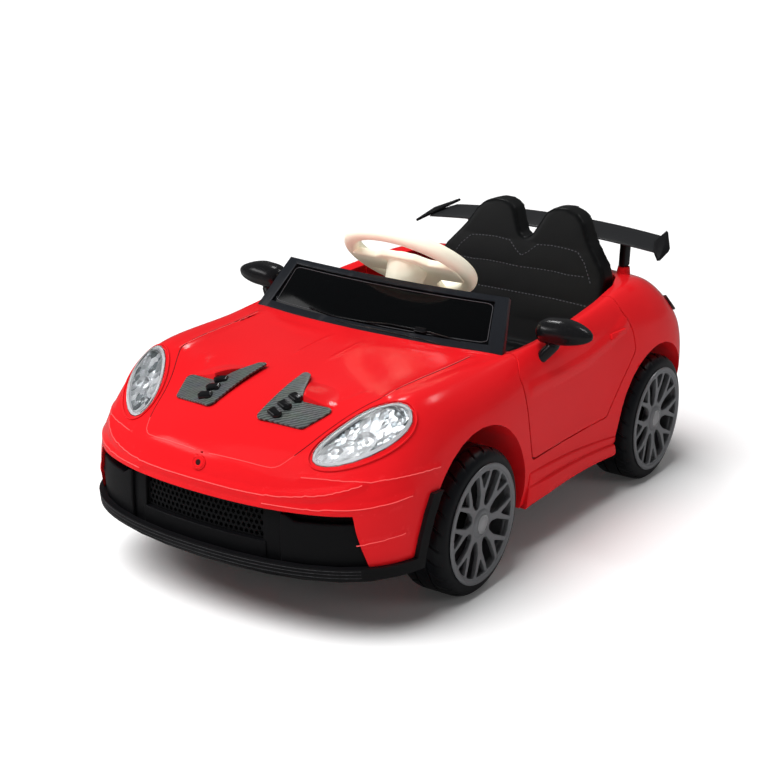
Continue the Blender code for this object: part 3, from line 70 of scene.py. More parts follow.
# Rails of the body's half, each from the nose's middle round the corner to the tail's middle,
# as (x, station, z): sill, low, waist, shoulder, upper, crest, inner and cockpit rim.
RAILS = [
    [
        (0, -0.309, 0.100), (0.06, -0.307, 0.100), (0.12, -0.299, 0.100), (0.175, -0.283, 0.100),
        (0.218, -0.261, 0.100), (0.252, -0.231, 0.100), (0.274, -0.192, 0.098), (0.283, -0.140, 0.096),
        (0.285, -0.070, 0.094), (0.285, 0.000, 0.092), (0.283, 0.070, 0.090), (0.277, 0.140, 0.088),
        (0.272, 0.230, 0.088), (0.271, 0.340, 0.089), (0.273, 0.450, 0.091), (0.281, 0.530, 0.096),
        (0.286, 0.610, 0.104), (0.284, 0.690, 0.112), (0.270, 0.750, 0.118), (0.232, 0.792, 0.122),
        (0.155, 0.812, 0.124), (0.078, 0.820, 0.124), (0, 0.822, 0.124),
    ],
    [
        (0, -0.313, 0.145), (0.06, -0.311, 0.145), (0.12, -0.303, 0.145), (0.175, -0.288, 0.145),
        (0.221, -0.266, 0.145), (0.257, -0.235, 0.145), (0.281, -0.194, 0.145), (0.291, -0.140, 0.145),
        (0.293, -0.070, 0.145), (0.293, 0.000, 0.145), (0.291, 0.070, 0.143), (0.287, 0.140, 0.135),
        (0.284, 0.230, 0.128), (0.283, 0.340, 0.128), (0.285, 0.450, 0.132), (0.291, 0.530, 0.145),
        (0.296, 0.610, 0.155), (0.294, 0.690, 0.160), (0.281, 0.755, 0.165), (0.242, 0.801, 0.168),
        (0.160, 0.822, 0.168), (0.080, 0.830, 0.168), (0, 0.832, 0.168),
    ],
    [
        (0, -0.314, 0.195), (0.06, -0.312, 0.195), (0.12, -0.304, 0.195), (0.175, -0.288, 0.195),
        (0.221, -0.265, 0.196), (0.257, -0.233, 0.198), (0.280, -0.190, 0.203), (0.290, -0.138, 0.208),
        (0.292, -0.070, 0.212), (0.292, 0.000, 0.215), (0.290, 0.070, 0.212), (0.285, 0.140, 0.205),
        (0.280, 0.230, 0.200), (0.278, 0.340, 0.200), (0.280, 0.450, 0.206), (0.288, 0.530, 0.218),
        (0.295, 0.610, 0.225), (0.293, 0.690, 0.222), (0.280, 0.756, 0.218), (0.242, 0.803, 0.216),
        (0.160, 0.825, 0.216), (0.080, 0.833, 0.216), (0, 0.835, 0.216),
    ],
    [
        (0, -0.306, 0.238), (0.062, -0.304, 0.236), (0.122, -0.295, 0.232), (0.177, -0.278, 0.228),
        (0.221, -0.252, 0.228), (0.254, -0.216, 0.234), (0.273, -0.173, 0.248), (0.282, -0.128, 0.264),
        (0.286, -0.065, 0.276), (0.287, 0.000, 0.281), (0.286, 0.070, 0.280), (0.283, 0.140, 0.277),
        (0.280, 0.230, 0.276), (0.279, 0.340, 0.280), (0.281, 0.450, 0.286), (0.287, 0.530, 0.290),
        (0.290, 0.610, 0.291), (0.286, 0.690, 0.282), (0.272, 0.754, 0.268), (0.236, 0.799, 0.263),
        (0.158, 0.820, 0.262), (0.080, 0.828, 0.262), (0, 0.830, 0.262),
    ],
    [
        (0, -0.284, 0.266), (0.064, -0.282, 0.264), (0.124, -0.270, 0.258), (0.172, -0.248, 0.255),
        (0.212, -0.214, 0.266), (0.240, -0.178, 0.282), (0.255, -0.148, 0.298), (0.263, -0.110, 0.309),
        (0.267, -0.060, 0.314), (0.268, 0.000, 0.315), (0.269, 0.070, 0.315), (0.271, 0.140, 0.316),
        (0.273, 0.230, 0.318), (0.272, 0.340, 0.323), (0.271, 0.450, 0.329), (0.271, 0.530, 0.334),
        (0.269, 0.610, 0.335), (0.262, 0.690, 0.324), (0.247, 0.748, 0.303), (0.208, 0.788, 0.297),
        (0.140, 0.806, 0.297), (0.070, 0.813, 0.297), (0, 0.815, 0.297),
    ],
    [
        (0, -0.226, 0.292), (0.056, -0.222, 0.291), (0.108, -0.210, 0.289), (0.150, -0.188, 0.296),
        (0.188, -0.164, 0.320), (0.214, -0.142, 0.332), (0.226, -0.118, 0.336), (0.231, -0.085, 0.336),
        (0.232, -0.040, 0.336), (0.233, 0.010, 0.336), (0.238, 0.070, 0.335), (0.251, 0.140, 0.336),
        (0.258, 0.230, 0.339), (0.256, 0.340, 0.346), (0.252, 0.450, 0.354), (0.246, 0.530, 0.361),
        (0.238, 0.610, 0.363), (0.226, 0.680, 0.356), (0.204, 0.732, 0.343), (0.163, 0.762, 0.338),
        (0.110, 0.776, 0.337), (0.055, 0.782, 0.337), (0, 0.784, 0.337),
    ],
    [
        (0, -0.110, 0.324), (0.040, -0.108, 0.3235), (0.078, -0.102, 0.322), (0.112, -0.092, 0.321),
        (0.142, -0.076, 0.322), (0.165, -0.055, 0.324), (0.182, -0.030, 0.327), (0.195, 0.000, 0.329),
        (0.206, 0.030, 0.331), (0.216, 0.060, 0.333), (0.227, 0.095, 0.334), (0.244, 0.145, 0.336),
        (0.248, 0.230, 0.338), (0.246, 0.340, 0.345), (0.241, 0.450, 0.353), (0.230, 0.530, 0.359),
        (0.213, 0.610, 0.360), (0.193, 0.672, 0.354), (0.167, 0.710, 0.347), (0.130, 0.728, 0.344),
        (0.088, 0.736, 0.343), (0.045, 0.740, 0.343), (0, 0.741, 0.343),
    ],
    [
        (0, 0.100, 0.338), (0.040, 0.101, 0.338), (0.078, 0.103, 0.338), (0.112, 0.106, 0.3375),
        (0.140, 0.110, 0.337), (0.164, 0.114, 0.337), (0.184, 0.118, 0.337), (0.200, 0.122, 0.337),
        (0.212, 0.127, 0.337), (0.222, 0.133, 0.336), (0.230, 0.141, 0.336), (0.237, 0.155, 0.335),
        (0.238, 0.230, 0.334), (0.235, 0.340, 0.340), (0.227, 0.450, 0.348), (0.212, 0.530, 0.352),
        (0.190, 0.600, 0.352), (0.168, 0.645, 0.349), (0.143, 0.672, 0.346), (0.112, 0.686, 0.344),
        (0.076, 0.693, 0.343), (0.038, 0.697, 0.343), (0, 0.698, 0.343),
    ],
]

# Pressed lines of the left half as (points, height, half width); a minus height is a hollow
CREASES = [
    # Bumper's upper fold
    (
        [(0, -0.309, 0.2115), (0.107, -0.301, 0.2100), (0.172, -0.280, 0.2160), (0.208, -0.258, 0.2228),
         (0.232, -0.233, 0.2330)], 0.0030, 0.010,
    ),
    # Bumper's lower fold
    (
        [(0.112, -0.301, 0.2000), (0.204, -0.270, 0.1990), (0.257, -0.223, 0.2040), (0.279, -0.176, 0.2120)],
        0.0022, 0.009,
    ),
    # Line from the lamp's foot to the wheel arch
    (
        [(0.157, -0.272, 0.2390), (0.223, -0.237, 0.2360), (0.249, -0.214, 0.2358), (0.282, -0.140, 0.2402),
         (0.286, -0.115, 0.2384)], 0.0018, 0.007,
    ),
    # Wing's ridge behind the lamp
    ([(0.193, -0.118, 0.3235), (0.197, -0.007, 0.3309), (0.204, 0.095, 0.3350)], 0.0022, 0.010),
    # Fold along the door
    (
        [(0.279, 0.165, 0.2825), (0.278, 0.259, 0.2819), (0.277, 0.358, 0.2852), (0.277, 0.439, 0.2996),
         (0.274, 0.500, 0.3160)], 0.0030, 0.014,
    ),
    # Bumper's side fold
    ([(0.237, -0.250, 0.1505), (0.278, -0.190, 0.1604)], 0.0020, 0.007),
    # Hood's low step in front of the windscreen
    ([(0.029, -0.030, 0.3279), (0.030, 0.055, 0.3345), (0.164, 0.078, 0.3348)], 0.0016, 0.006),
    # Edge of the hollow beside the vent
    ([(0.127, -0.146, 0.3069), (0.149, -0.107, 0.3184)], 0.0012, 0.008),
]

# Which of the pressed lines carry a thin pale line of painted highlight on the fixed body
BODY_FOLDS = (0, 1, 2, 3, 5)

# How far the visible panels lie outside the body's form, as their solids do
SHELL_LIFT = -0.0001
LENS_LIFT = 0.0025
SPLITTER_LIFT = 0.0068
RIDGE_LIFT = 0.0061
VALANCE_LIFT = 0.0039

SEAM_RADIUS = 0.0006
EDGE_RADIUS = 0.0008
WIPER_RADIUS = 0.0016
LIP_RADIUS = 0.0016

# The hood's shut line as (x, station) from above, and the point where its front turns into its side
HOOD_SEAM = [
    (0.0125, -0.2950), (0.0493, -0.2925), (0.0972, -0.2860), (0.1215, -0.2790), (0.1325, -0.2550),
    (0.140, -0.2340), (0.148, -0.2040), (0.161, -0.1710), (0.180, -0.1370), (0.192, -0.1150),
    (0.196, -0.0600), (0.199, 0.0000), (0.203, 0.0600), (0.205, 0.0950),
]
HOOD_SEAM_TURN = 4

# The bare boss on the nose: its height, its ring, groove and hole, and how far round it the solid's own
# boss and bore are smoothed away
BOSS_Z = 0.2345
BOSS_RIM = (0.0125, 0.0105)
BOSS_GROOVE = (0.0095, 0.0080)
BOSS_HOLE = 0.0042
BOSS_SMOOTHED = 0.024
BOSS_SMOOTHED_DEPTH = 0.018
BOSS_BORE = 0.0065

# The side skirt's front end and length, its section as (up, out), and the door handle as (station, up)
SKIRT_FRONT = 0.163
SKIRT_LENGTH = 0.314
SKIRT_SECTION = [
    (0.0640, -0.0002), (0.0600, 0.0040), (0.0440, 0.0050), (0.0400, 0.0030), (0.0360, 0.0085),
    (0.0160, 0.0125), (0.0060, 0.0110), (0.0, 0.0040), (0.0010, -0.0120), (0.0640, -0.0060),
]
HANDLE_OUTLINE = [(0.436, -0.0055), (0.494, -0.0045), (0.490, 0.0060), (0.440, 0.0050)]
HANDLE_Z = 0.3050

LAMP_X = 0.201
LAMP_STATION = -0.188
LAMP_HALF_LENGTH = 0.074
LAMP_HALF_WIDTH = 0.029
LAMP_TAPER = 0.12
LAMP_TURN = math.radians(55)
# The lamp's reflector bowls as (x, station, radius)
LAMP_BOWLS = [(0.224, -0.150, 0.0185), (0.209, -0.192, 0.0145), (0.180, -0.222, 0.0110)]

# A hood vent's plate, its three blocks and one block's outline, and the red scoop's corners beside the plate
VENT_OUTLINE = [
    (0.034, -0.096), (0.041, -0.228), (0.116, -0.215), (0.137, -0.160), (0.078, -0.165), (0.048, -0.100)
]
VENT_BLOCKS = [(0.064, -0.209), (0.066, -0.188), (0.069, -0.166)]
BLOCK_OUTLINE = [(-0.011, -0.0075), (0.008, -0.0075), (0.012, 0.0), (0.008, 0.0075), (-0.011, 0.0075)]
SCOOP_FOOT = ((0.050, -0.104), (0.112, -0.096))
SCOOP_CREST = ((0.081, -0.163), (0.136, -0.157))

# The windscreen's foot and top as (half width, station, bow, z)
SCREEN_BASE = (0.238, 0.104, 0.032, 0.334)
SCREEN_TOP = (0.212, 0.180, 0.015, 0.411)

# The left mirror as (x, station, z)
MIRROR_CENTRE = (0.297, 0.228, 0.3595)
MIRROR_HALF = (0.0478, 0.027, 0.0245)
MIRROR_FOOT = (0.264, 0.214, 0.318)

# The wing's edges as (half width, station, z), and the outline of its left end plate as (x, station, z)
WING_LEADING = (0.239, 0.683, 0.401)
WING_TRAILING = (0.219, 0.760, 0.415)
WINGLET = [
    (0.2210, 0.7690, 0.4241), (0.2253, 0.7662, 0.4213), (0.2508, 0.7211, 0.4024), (0.2533, 0.7106, 0.3999),
    (0.2575, 0.6680, 0.3931), (0.2551, 0.6600, 0.3936), (0.2391, 0.6778, 0.4044), (0.2253, 0.7103, 0.4155),
]

# Heights between the seat's rows, and its moulded stitches of the left half as (x, z)
SEAT_ROWS = (0.262, 0.305, 0.351, 0.396, 0.462)
SEAT_STITCHES = [
    [(0.001, 0.371), (0.012, 0.378), (0.029, 0.3935), (0.060, 0.396), (0.092, 0.3945), (0.112, 0.392),
     (0.130, 0.3744), (0.1526, 0.3356)],
    [(0.003, 0.350), (0.037, 0.3515), (0.070, 0.352), (0.100, 0.350), (0.135, 0.3515)],
    [(0.002, 0.305), (0.083, 0.305), (0.152, 0.302)],
]

# Arms and blades of the moulded wipers on the windscreen, as (across, up)
WIPERS = [
    [(-0.53, 0.22), (-0.30, 0.18), (-0.01, 0.20), (0.17, 0.24), (0.44, 0.23), (0.71, 0.16)],
    [(-0.26, 0.12), (0.13, 0.11), (0.44, 0.09), (0.58, 0.05)],
]

COLUMN_TILT = math.radians(55)
STEER_CENTRE = (0.0, -0.017894, 0.430019)
STEER_RADIUS = 0.104
STEER_TUBE = 0.013

SPOKES = 8
SPOKE_HALF_WIDTH = 0.0029
SPOKE_REACH = 0.0832
TREAD_BLOCKS = 26

WORLD_LIGHT = 0.10
SUN_POWER = 3.9
SUN_TURN = (math.radians(24), math.radians(-14), 0.0)
SUN_SPREAD = math.radians(46)
FLOOR_GLOW = 0.02

# Soft lamps as (place, aim, width, height, power, whether reflections show it)
LAMPS = (
    ((0.60, 1.25, 1.90), (0.2, -0.3, 0.3), 0.50, 0.14, 2.5, True),
    ((-0.73, 0.85, 1.90), (0.1, -0.4, 0.3), 0.30, 0.20, 4.0, True),
    ((-1.80, -1.60, 1.60), (0, -0.2, 0.2), 1.40, 0.50, 9.0, True),
    ((2.30, 0.40, 0.90), (0.3, 0.1, 0.2), 1.20, 0.80, 4.0, False),
)

PHOTO_SIZE = 773
PHOTO_FOCAL = 1600
SENSOR = 36.0
CAMERA_PLACE = (1.3739, -2.198, 1.0377)
CAMERA_YAW = 0.57515604
CAMERA_PITCH = 0.31093259
CAMERA_ROLL = 0.03247213


def at(station):
    """The world Y of a station measured rearwards from the front axle."""
    return FRONT_AXLE_Y + station


def unit(value):
    """The value held between 0 and 1."""
    return max(0.0, min(1.0, value))


def bulged(value, power):
    """The value's size to a power, with its sign kept."""
    return math.copysign(abs(value) ** power, value)


def linear(colour):
    """An sRGB hex colour as linear red, green, blue and alpha."""
    parts = [int(colour[i:i + 2], 16) / 255 for i in (1, 3, 5)]
    return (*[c / 12.92 if c <= 0.04045 else ((c + 0.055) / 1.055) ** 2.4 for c in parts], 1.0)


class RideOnSizes(bpy.types.PropertyGroup):
    """Sizes of the pieces that a user would change."""

    hull_edge: bpy.props.FloatProperty(
        name="Panel fineness", description="Longest edge of the red panels' faces",
        default=0.009, min=0.004, unit="LENGTH",
    )
    tread_depth: bpy.props.FloatProperty(
        name="Tread depth", description="Depth of the grooves between the tyres' blocks",
        default=0.0024, unit="LENGTH",
    )
    mesh_pitch: bpy.props.FloatProperty(
        name="Grille pitch", description="Distance between the grille's six-sided openings",
        default=0.0088, unit="LENGTH",
    )
    floor_size: bpy.props.FloatProperty(
        name="Floor size", description="Side of the pale floor", default=90.0, unit="LENGTH",
    )


class RideOnColours(bpy.types.PropertyGroup):
    """Colours of the finishes."""

    body: bpy.props.FloatVectorProperty(
        name="Body", description="Gloss red of the moulded panels", subtype="COLOR", size=4,
        default=linear("#DC1A20"),
    )
    trim: bpy.props.FloatVectorProperty(
        name="Trim", description="Satin black of seat, wing and bumper parts", subtype="COLOR", size=4,
        default=linear("#0C0C0E"),
    )
    tyre: bpy.props.FloatVectorProperty(
        name="Tyre", description="Blue-black of the moulded tyres", subtype="COLOR", size=4,
        default=linear("#090B10"),
    )
    wheel: bpy.props.FloatVectorProperty(
        name="Wheel", description="Dark silver of the spokes", subtype="COLOR", size=4,
        default=linear("#8C8D90"),
    )
    steering: bpy.props.FloatVectorProperty(
        name="Steering wheel", description="Cream of the steering wheel", subtype="COLOR", size=4,
        default=linear("#FFFAE7"),
    )


def sizes():
    """The user's sizes."""
    return bpy.context.scene.ride_on_sizes


def colours():
    """The user's colours."""
    return bpy.context.scene.ride_on_colours


# Nodes and finishes


def add_node(tree, kind, settings=None, links=None):
    """Adds a node. Settings go to its inputs where one has that name, and else to the node itself."""
    made = tree.nodes.new(kind)
    for key, value in (settings or {}).items():
        if isinstance(key, int) or key in made.inputs:
            made.inputs[key].default_value = value
        else:
            setattr(made, key, value)
    for key, source in (links or {}).items():
        tree.links.new(source, made.inputs[key])
    return made


def new_finish(name, settings):
    """A material whose uniform values stand on the shader's own sockets."""
    material = bpy.data.materials.new(name)
    material.use_nodes = True
    shader = material.node_tree.nodes["Principled BSDF"]
    for key, value in settings.items():
        shader.inputs[key].default_value = value
    return material, material.node_tree, shader


def between(tree, low, high, share):
    """A colour between two colours, after a pattern."""
    return add_node(tree, "ShaderNodeMix", {"data_type": "RGBA", 6: low, 7: high}, {0: share}).outputs[2]


def varied_gloss(tree, shader, low, high, pattern):
    """A roughness between two values, after a pattern."""
    gloss = add_node(tree, "ShaderNodeMapRange", {"To Min": low, "To Max": high}, {"Value": pattern})
    tree.links.new(gloss.outputs["Result"], shader.inputs["Roughness"])


def bumped(tree, shader, strength, depth, pattern):
    """Small relief after a pattern."""
    bump = add_node(tree, "ShaderNodeBump", {"Strength": strength, "Distance": depth}, {"Height": pattern})
    tree.links.new(bump.outputs["Normal"], shader.inputs["Normal"])


def moulded_plastic(name, colour, roughness, grain, depth, shade=0.10, edge_wear_and_sheen=0.05, **more):
    """Injection moulded plastic: a fine grain of that size and depth, patchy gloss, and edges made paler,
    partly as rubbed wear and partly as painted highlight where edges catch the light.
    """
    more = {key.replace("_", " "): value for key, value in more.items()}
    material, tree, shader = new_finish(name, {"IOR": 1.5, **more})
    spot = add_node(tree, "ShaderNodeTexCoord").outputs["Object"]
    patches = add_node(tree, "ShaderNodeTexNoise", {"Scale": 14.0, "Detail": 3.0}, {"Vector": spot})
    fine = add_node(tree, "ShaderNodeTexNoise", {"Scale": 1.0 / grain, "Detail": 2.0}, {"Vector": spot})
    dark = tuple(c * (1 - shade) for c in colour[:3])
    light = tuple(min(1.0, c * (1 + shade)) for c in colour[:3])
    tone = between(tree, (*dark, 1.0), (*light, 1.0), patches.outputs["Fac"])
    # Convex edges are painted paler: rubbed wear, and painted highlight where the edges catch the light
    edge = add_node(tree, "ShaderNodeNewGeometry")
    paler_edge_share = add_node(
        tree, "ShaderNodeMapRange", {"From Min": 0.53, "From Max": 0.62, "To Max": edge_wear_and_sheen},
        {"Value": edge.outputs["Pointiness"]},
    )
    pale = tuple(min(1.0, c * 1.5 + 0.05) for c in colour[:3])
    tone_with_paler_edges = add_node(
        tree, "ShaderNodeMix", {"data_type": "RGBA", 7: (*pale, 1.0)},
        {0: paler_edge_share.outputs["Result"], 6: tone},
    )
    tree.links.new(tone_with_paler_edges.outputs[2], shader.inputs["Base Color"])
    varied_gloss(tree, shader, roughness * 0.88, roughness * 1.14, patches.outputs["Fac"])
    bumped(tree, shader, 1.0, depth, fine.outputs["Fac"])
    return material


def metal(name, colour, roughness, streak, depth, shade=0.12):
    """Plated or painted metal with fine marks drawn out along the car."""
    material, tree, shader = new_finish(name, {"Metallic": 1.0})
    spot = add_node(tree, "ShaderNodeTexCoord").outputs["Object"]
    drawn = add_node(tree, "ShaderNodeMapping", {"Scale": (1.0, 0.2, 1.0)}, {"Vector": spot})
    marks = add_node(
        tree, "ShaderNodeTexNoise", {"Scale": 1.0 / streak, "Detail": 4.0},
        {"Vector": drawn.outputs["Vector"]},
    )
    dark = tuple(c * (1 - shade) for c in colour[:3])
    tree.links.new(between(tree, (*dark, 1.0), colour, marks.outputs["Fac"]), shader.inputs["Base Color"])
    varied_gloss(tree, shader, roughness * 0.8, roughness * 1.25, marks.outputs["Fac"])
    bumped(tree, shader, 1.0, depth, marks.outputs["Fac"])
    return material


def carbon_print(name):
    """A moulded plate with a twill pattern: slanted grey ribs of thread."""
    material, tree, shader = new_finish(name, {"IOR": 1.5})
    spot = add_node(tree, "ShaderNodeTexCoord").outputs["Object"]
    turned = add_node(
        tree, "ShaderNodeMapping", {"Rotation": (0.0, 0.0, math.radians(45))}, {"Vector": spot}
    )
    # Ribs of 5 mm; real twill of about 2 mm would not show at this distance
    squares = add_node(
        tree, "ShaderNodeTexWave",
        {"Scale": 0.314 / 0.005, "Distortion": 3.0, "Detail": 2.0, "Detail Scale": 3.0},
        {"Vector": turned.outputs["Vector"]},
    )
    threads = between(tree, linear("#2E3231"), linear("#6E7472"), squares.outputs["Fac"])
    patches = add_node(tree, "ShaderNodeTexNoise", {"Scale": 60.0}, {"Vector": spot})
    tone = add_node(
        tree, "ShaderNodeMix", {"data_type": "RGBA", "blend_type": "MULTIPLY", 0: 0.35},
        {6: threads, 7: patches.outputs["Color"]},
    )
    tree.links.new(tone.outputs[2], shader.inputs["Base Color"])
    varied_gloss(tree, shader, 0.28, 0.42, squares.outputs["Fac"])
    bumped(tree, shader, 0.6, 0.0003, squares.outputs["Fac"])
    return material


def plated_facets_painted_reflections(name):
    """Vacuum plated plastic pressed into small flat facets, each painted a brightness of its own: painted
    reflections.
    """
    material, tree, shader = new_finish(name, {"Metallic": 0.35, "Roughness": 0.22})
    spot = add_node(tree, "ShaderNodeTexCoord").outputs["Object"]
    drawn = add_node(tree, "ShaderNodeMapping", {"Scale": (1.0, 0.45, 1.0)}, {"Vector": spot})
    # Facets of about 9 by 20 mm
    cells = add_node(tree, "ShaderNodeTexVoronoi", {"Scale": 1 / 0.009}, {"Vector": drawn.outputs["Vector"]})
    share = add_node(
        tree, "ShaderNodeMapRange", {"From Min": 0.25, "From Max": 0.8}, {"Value": cells.outputs["Color"]}
    )
    # Each facet's brightness between grey and white is painted into its colour: painted reflections
    tone = between(tree, linear("#6F7779"), linear("#F4F6F6"), share.outputs["Result"])
    tree.links.new(tone, shader.inputs["Base Color"])
    bumped(tree, shader, 0.8, 0.003, cells.outputs["Distance"])
    return material


def clear_plastic(name):
    """Clear polycarbonate: thin, very smooth, with faint flow waves from the mould."""
    material, tree, shader = new_finish(
        name, {"IOR": 1.45, "Transmission Weight": 1.0, "Base Color": (0.97, 0.98, 1.0, 1.0)}
    )
    spot = add_node(tree, "ShaderNodeTexCoord").outputs["Object"]
    waves = add_node(tree, "ShaderNodeTexNoise", {"Scale": 40.0, "Detail": 1.0}, {"Vector": spot})
    varied_gloss(tree, shader, 0.02, 0.07, waves.outputs["Fac"])
    bumped(tree, shader, 0.3, 0.0002, waves.outputs["Fac"])
    return material


# The materials by the finish's short name
FINISHES = {}


def make_finishes():
    """One material for each of the car's finishes."""
    tint = colours()
    FINISHES.update({
        "red": moulded_plastic(
            "gloss_red_polypropylene", tint.body, 0.16, 0.006, 0.00002, shade=0.03, edge_wear_and_sheen=0.10,
            Specular_IOR_Level=0.17,
        ),
        "black": moulded_plastic(
            "satin_black_polypropylene", tint.trim, 0.44, 0.0012, 0.00008, edge_wear_and_sheen=0.06, Specular_IOR_Level=0.2
        ),
        # Near black for sheets behind the grille and at the back of the wheels: painted shade
        "shadow_black": moulded_plastic("black_painted_shade_sheet", linear("#0A0A0B"), 0.7, 0.002, 0.00003, edge_wear_and_sheen=0.0),
        # Grey for thin lines along the splitter's edges and round the pane: painted highlight
        "black_edge_highlight": moulded_plastic("black_edge_painted_highlight", linear("#4A4A4D"), 0.35, 0.002, 0.00003),
        # Pale red for the thin lines along the folds and the hood seam's front: painted highlight
        "red_fold_highlight": moulded_plastic(
            "red_fold_painted_highlight", linear("#FF5A5A"), 0.25, 0.006, 0.00001, shade=0.05, edge_wear_and_sheen=0.0
        ),
        "mirror_shell": moulded_plastic("satin_mirror_shell", linear("#101012"), 0.24, 0.003, 0.00002),
        # Grey for the seat's stitches: painted highlight where the moulded stitches catch the light
        "stitch": moulded_plastic("moulded_stitch_painted_highlight", linear("#56575B"), 0.5, 0.002, 0.00002, edge_wear_and_sheen=0.0),
        # The seat's strongly paler edges are painted highlight on the rims of its humps
        "seat": moulded_plastic(
            "satin_black_seat", linear("#08090A"), 0.40, 0.0012, 0.00006, edge_wear_and_sheen=0.25, Specular_IOR_Level=0.3
        ),
        "frame": moulded_plastic("brushed_black_frame", linear("#15181D"), 0.34, 0.0012, 0.0001, edge_wear_and_sheen=0.15),
        "reflector": plated_facets_painted_reflections("plated_reflector_painted_reflections"),
        "wing": moulded_plastic("dark_grey_wing", linear("#17181A"), 0.42, 0.0014, 0.00004, edge_wear_and_sheen=0.08),
        "gloss_black": moulded_plastic("gloss_black_abs", linear("#0B0B0D"), 0.16, 0.004, 0.00001),
        "tyre": moulded_plastic(
            "blue_black_moulded_tyre", tint.tyre, 0.40, 0.0016, 0.0001, shade=0.18, Specular_IOR_Level=0.35
        ),
        "wheel": moulded_plastic(
            "dark_silver_painted_wheel", tint.wheel, 0.34, 0.0011, 0.00002, shade=0.08, edge_wear_and_sheen=0.15,
            Metallic=0.65,
        ),
        "cap": moulded_plastic(
            "pale_silver_painted_cap", linear("#A9A9AB"), 0.30, 0.0011, 0.00002, edge_wear_and_sheen=0.1, Metallic=0.5
        ),
        # A faint warm glow in the cream is painted light that lifts the steering wheel's shade
        "cream": moulded_plastic(
            "cream_abs_painted_glow", tint.steering, 0.36, 0.0020, 0.00003, shade=0.03, edge_wear_and_sheen=0.05,
            Emission_Color=linear("#FFF3D2"), Emission_Strength=0.16,
        ),
        "grey": moulded_plastic("battery_grey_abs", linear("#5E6063"), 0.5, 0.0015, 0.00006),
        "steel": metal("zinc_plated_steel", linear("#C3C5C9"), 0.32, 0.0012, 0.00003),
        "chrome": metal("vacuum_chrome", linear("#E3E5E8"), 0.08, 0.004, 0.00001, shade=0.05),
        "pale": moulded_plastic(
            "pale_silver_lamp_rim", linear("#E8E9EA"), 0.3, 0.003, 0.00001, shade=0.03, edge_wear_and_sheen=0.0
        ),
        "film": metal("mirror_film", linear("#D5D8DC"), 0.03, 0.02, 0.000002, shade=0.03),
        "carbon": carbon_print("carbon_twill_print"),
        "clear": clear_plastic("clear_polycarbonate"),
        "smoke": moulded_plastic("smoked_red_lens", linear("#2A0C0C"), 0.10, 0.005, 0.00002, edge_wear_and_sheen=0.0),
        # Dark red for the hood seam's side and the boss's hole: painted shade
        "shadow": moulded_plastic("dark_gap_painted_shade", linear("#2A0506"), 0.6, 0.002, 0.00002, edge_wear_and_sheen=0.0),
        "pane": moulded_plastic(
            "tinted_acrylic_pane", linear("#060708"), 0.10, 0.02, 0.000005, edge_wear_and_sheen=0.0, Specular_IOR_Level=0.12
        ),
    })


# Modelling steps


def alone(thing):
    """Leaves only this object selected and active."""
    bpy.ops.object.select_all(action="DESELECT")
    thing.select_set(True)
    bpy.context.view_layer.objects.active = thing
    return thing


def settle(thing, kind, **settings):
    """Adds a modifier and applies it."""
    alone(thing)
    bpy.ops.object.modifier_add(type=kind)
    step = thing.modifiers[-1]
    for key, value in settings.items():
        setattr(step, key, value)
    bpy.ops.object.modifier_apply(modifier=step.name)
    return thing


def take_away(thing, cutter):
    """Cuts the cutter's space out of the object and removes the cutter."""
    settle(thing, "BOOLEAN", operation="DIFFERENCE", solver="EXACT", object=cutter)
    bpy.data.objects.remove(cutter, do_unlink=True)
    return thing


def bevelled(thing, width, segments, degrees):
    """Rounds the edges that turn by more than the angle."""
    limit = math.radians(degrees)
    return settle(thing, "BEVEL", width=width, segments=segments, limit_method="ANGLE", angle_limit=limit)


def added(name, data):
    """A new object in the scene."""
    thing = bpy.data.objects.new(name, data)
    bpy.context.scene.collection.objects.link(thing)
    return thing


def from_points(name, points, faces):
    """A new object from points and faces, its normals turned outwards."""
    mesh = bpy.data.meshes.new(name)
    mesh.from_pydata([tuple(p) for p in points], [], faces)
    return outwards(added(name, mesh))


def band_faces(rows, around, capped=False, looped=False):
    """Quads from each ring of points to the next, with a face over each end or round to the first ring."""
    faces = []
    for i in range(rows if looped else rows - 1):
        j = (i + 1) % rows
        for k in range(around):
            n = (k + 1) % around
            faces.append((i * around + k, i * around + n, j * around + n, j * around + k))
    if capped:
        faces += [tuple(range(around)), tuple((rows - 1) * around + k for k in reversed(range(around)))]
    return faces


def outwards(thing):
    """Joins points that coincide and turns all faces outwards."""
    alone(thing)
    bpy.ops.object.mode_set(mode="EDIT")
    bpy.ops.mesh.select_all(action="SELECT")
    bpy.ops.mesh.remove_doubles(threshold=1e-6)
    bpy.ops.mesh.normals_make_consistent(inside=False)
    bpy.ops.object.mode_set(mode="OBJECT")
    return thing


def merged_copy(node):
    """A CAD node's mesh as a new object with its loose triangles joined."""
    thing = alone(added(node, frame["nodes"][node].data.copy()))
    thing.data.materials.clear()
    bpy.ops.object.mode_set(mode="EDIT")
    bpy.ops.mesh.select_all(action="SELECT")
    bpy.ops.mesh.customdata_custom_splitnormals_clear()
    bpy.ops.mesh.remove_doubles(threshold=2e-6)
    bpy.ops.object.mode_set(mode="OBJECT")
    return thing


def smoothed(thing, degrees):
    """Shades the faces smooth, apart from edges that turn by more than the angle."""
    alone(thing)
    bpy.ops.object.shade_smooth_by_angle(angle=math.radians(degrees))
    return thing


def finished(thing, name, body, finish, slot, *nodes, smooth=None):
    """Names a piece, sets its place in its mesh, gives it its finish and puts it on its body."""
    alone(thing)
    bpy.ops.object.transform_apply(location=True, rotation=True, scale=True)
    if smooth is not None:
        smoothed(thing, smooth)
    thing.name = name
    thing.data.name = name
    thing.data.materials.clear()
    thing.data.materials.append(FINISHES[finish])
    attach(thing, body)
    if nodes:
        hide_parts(*nodes)
    return thing


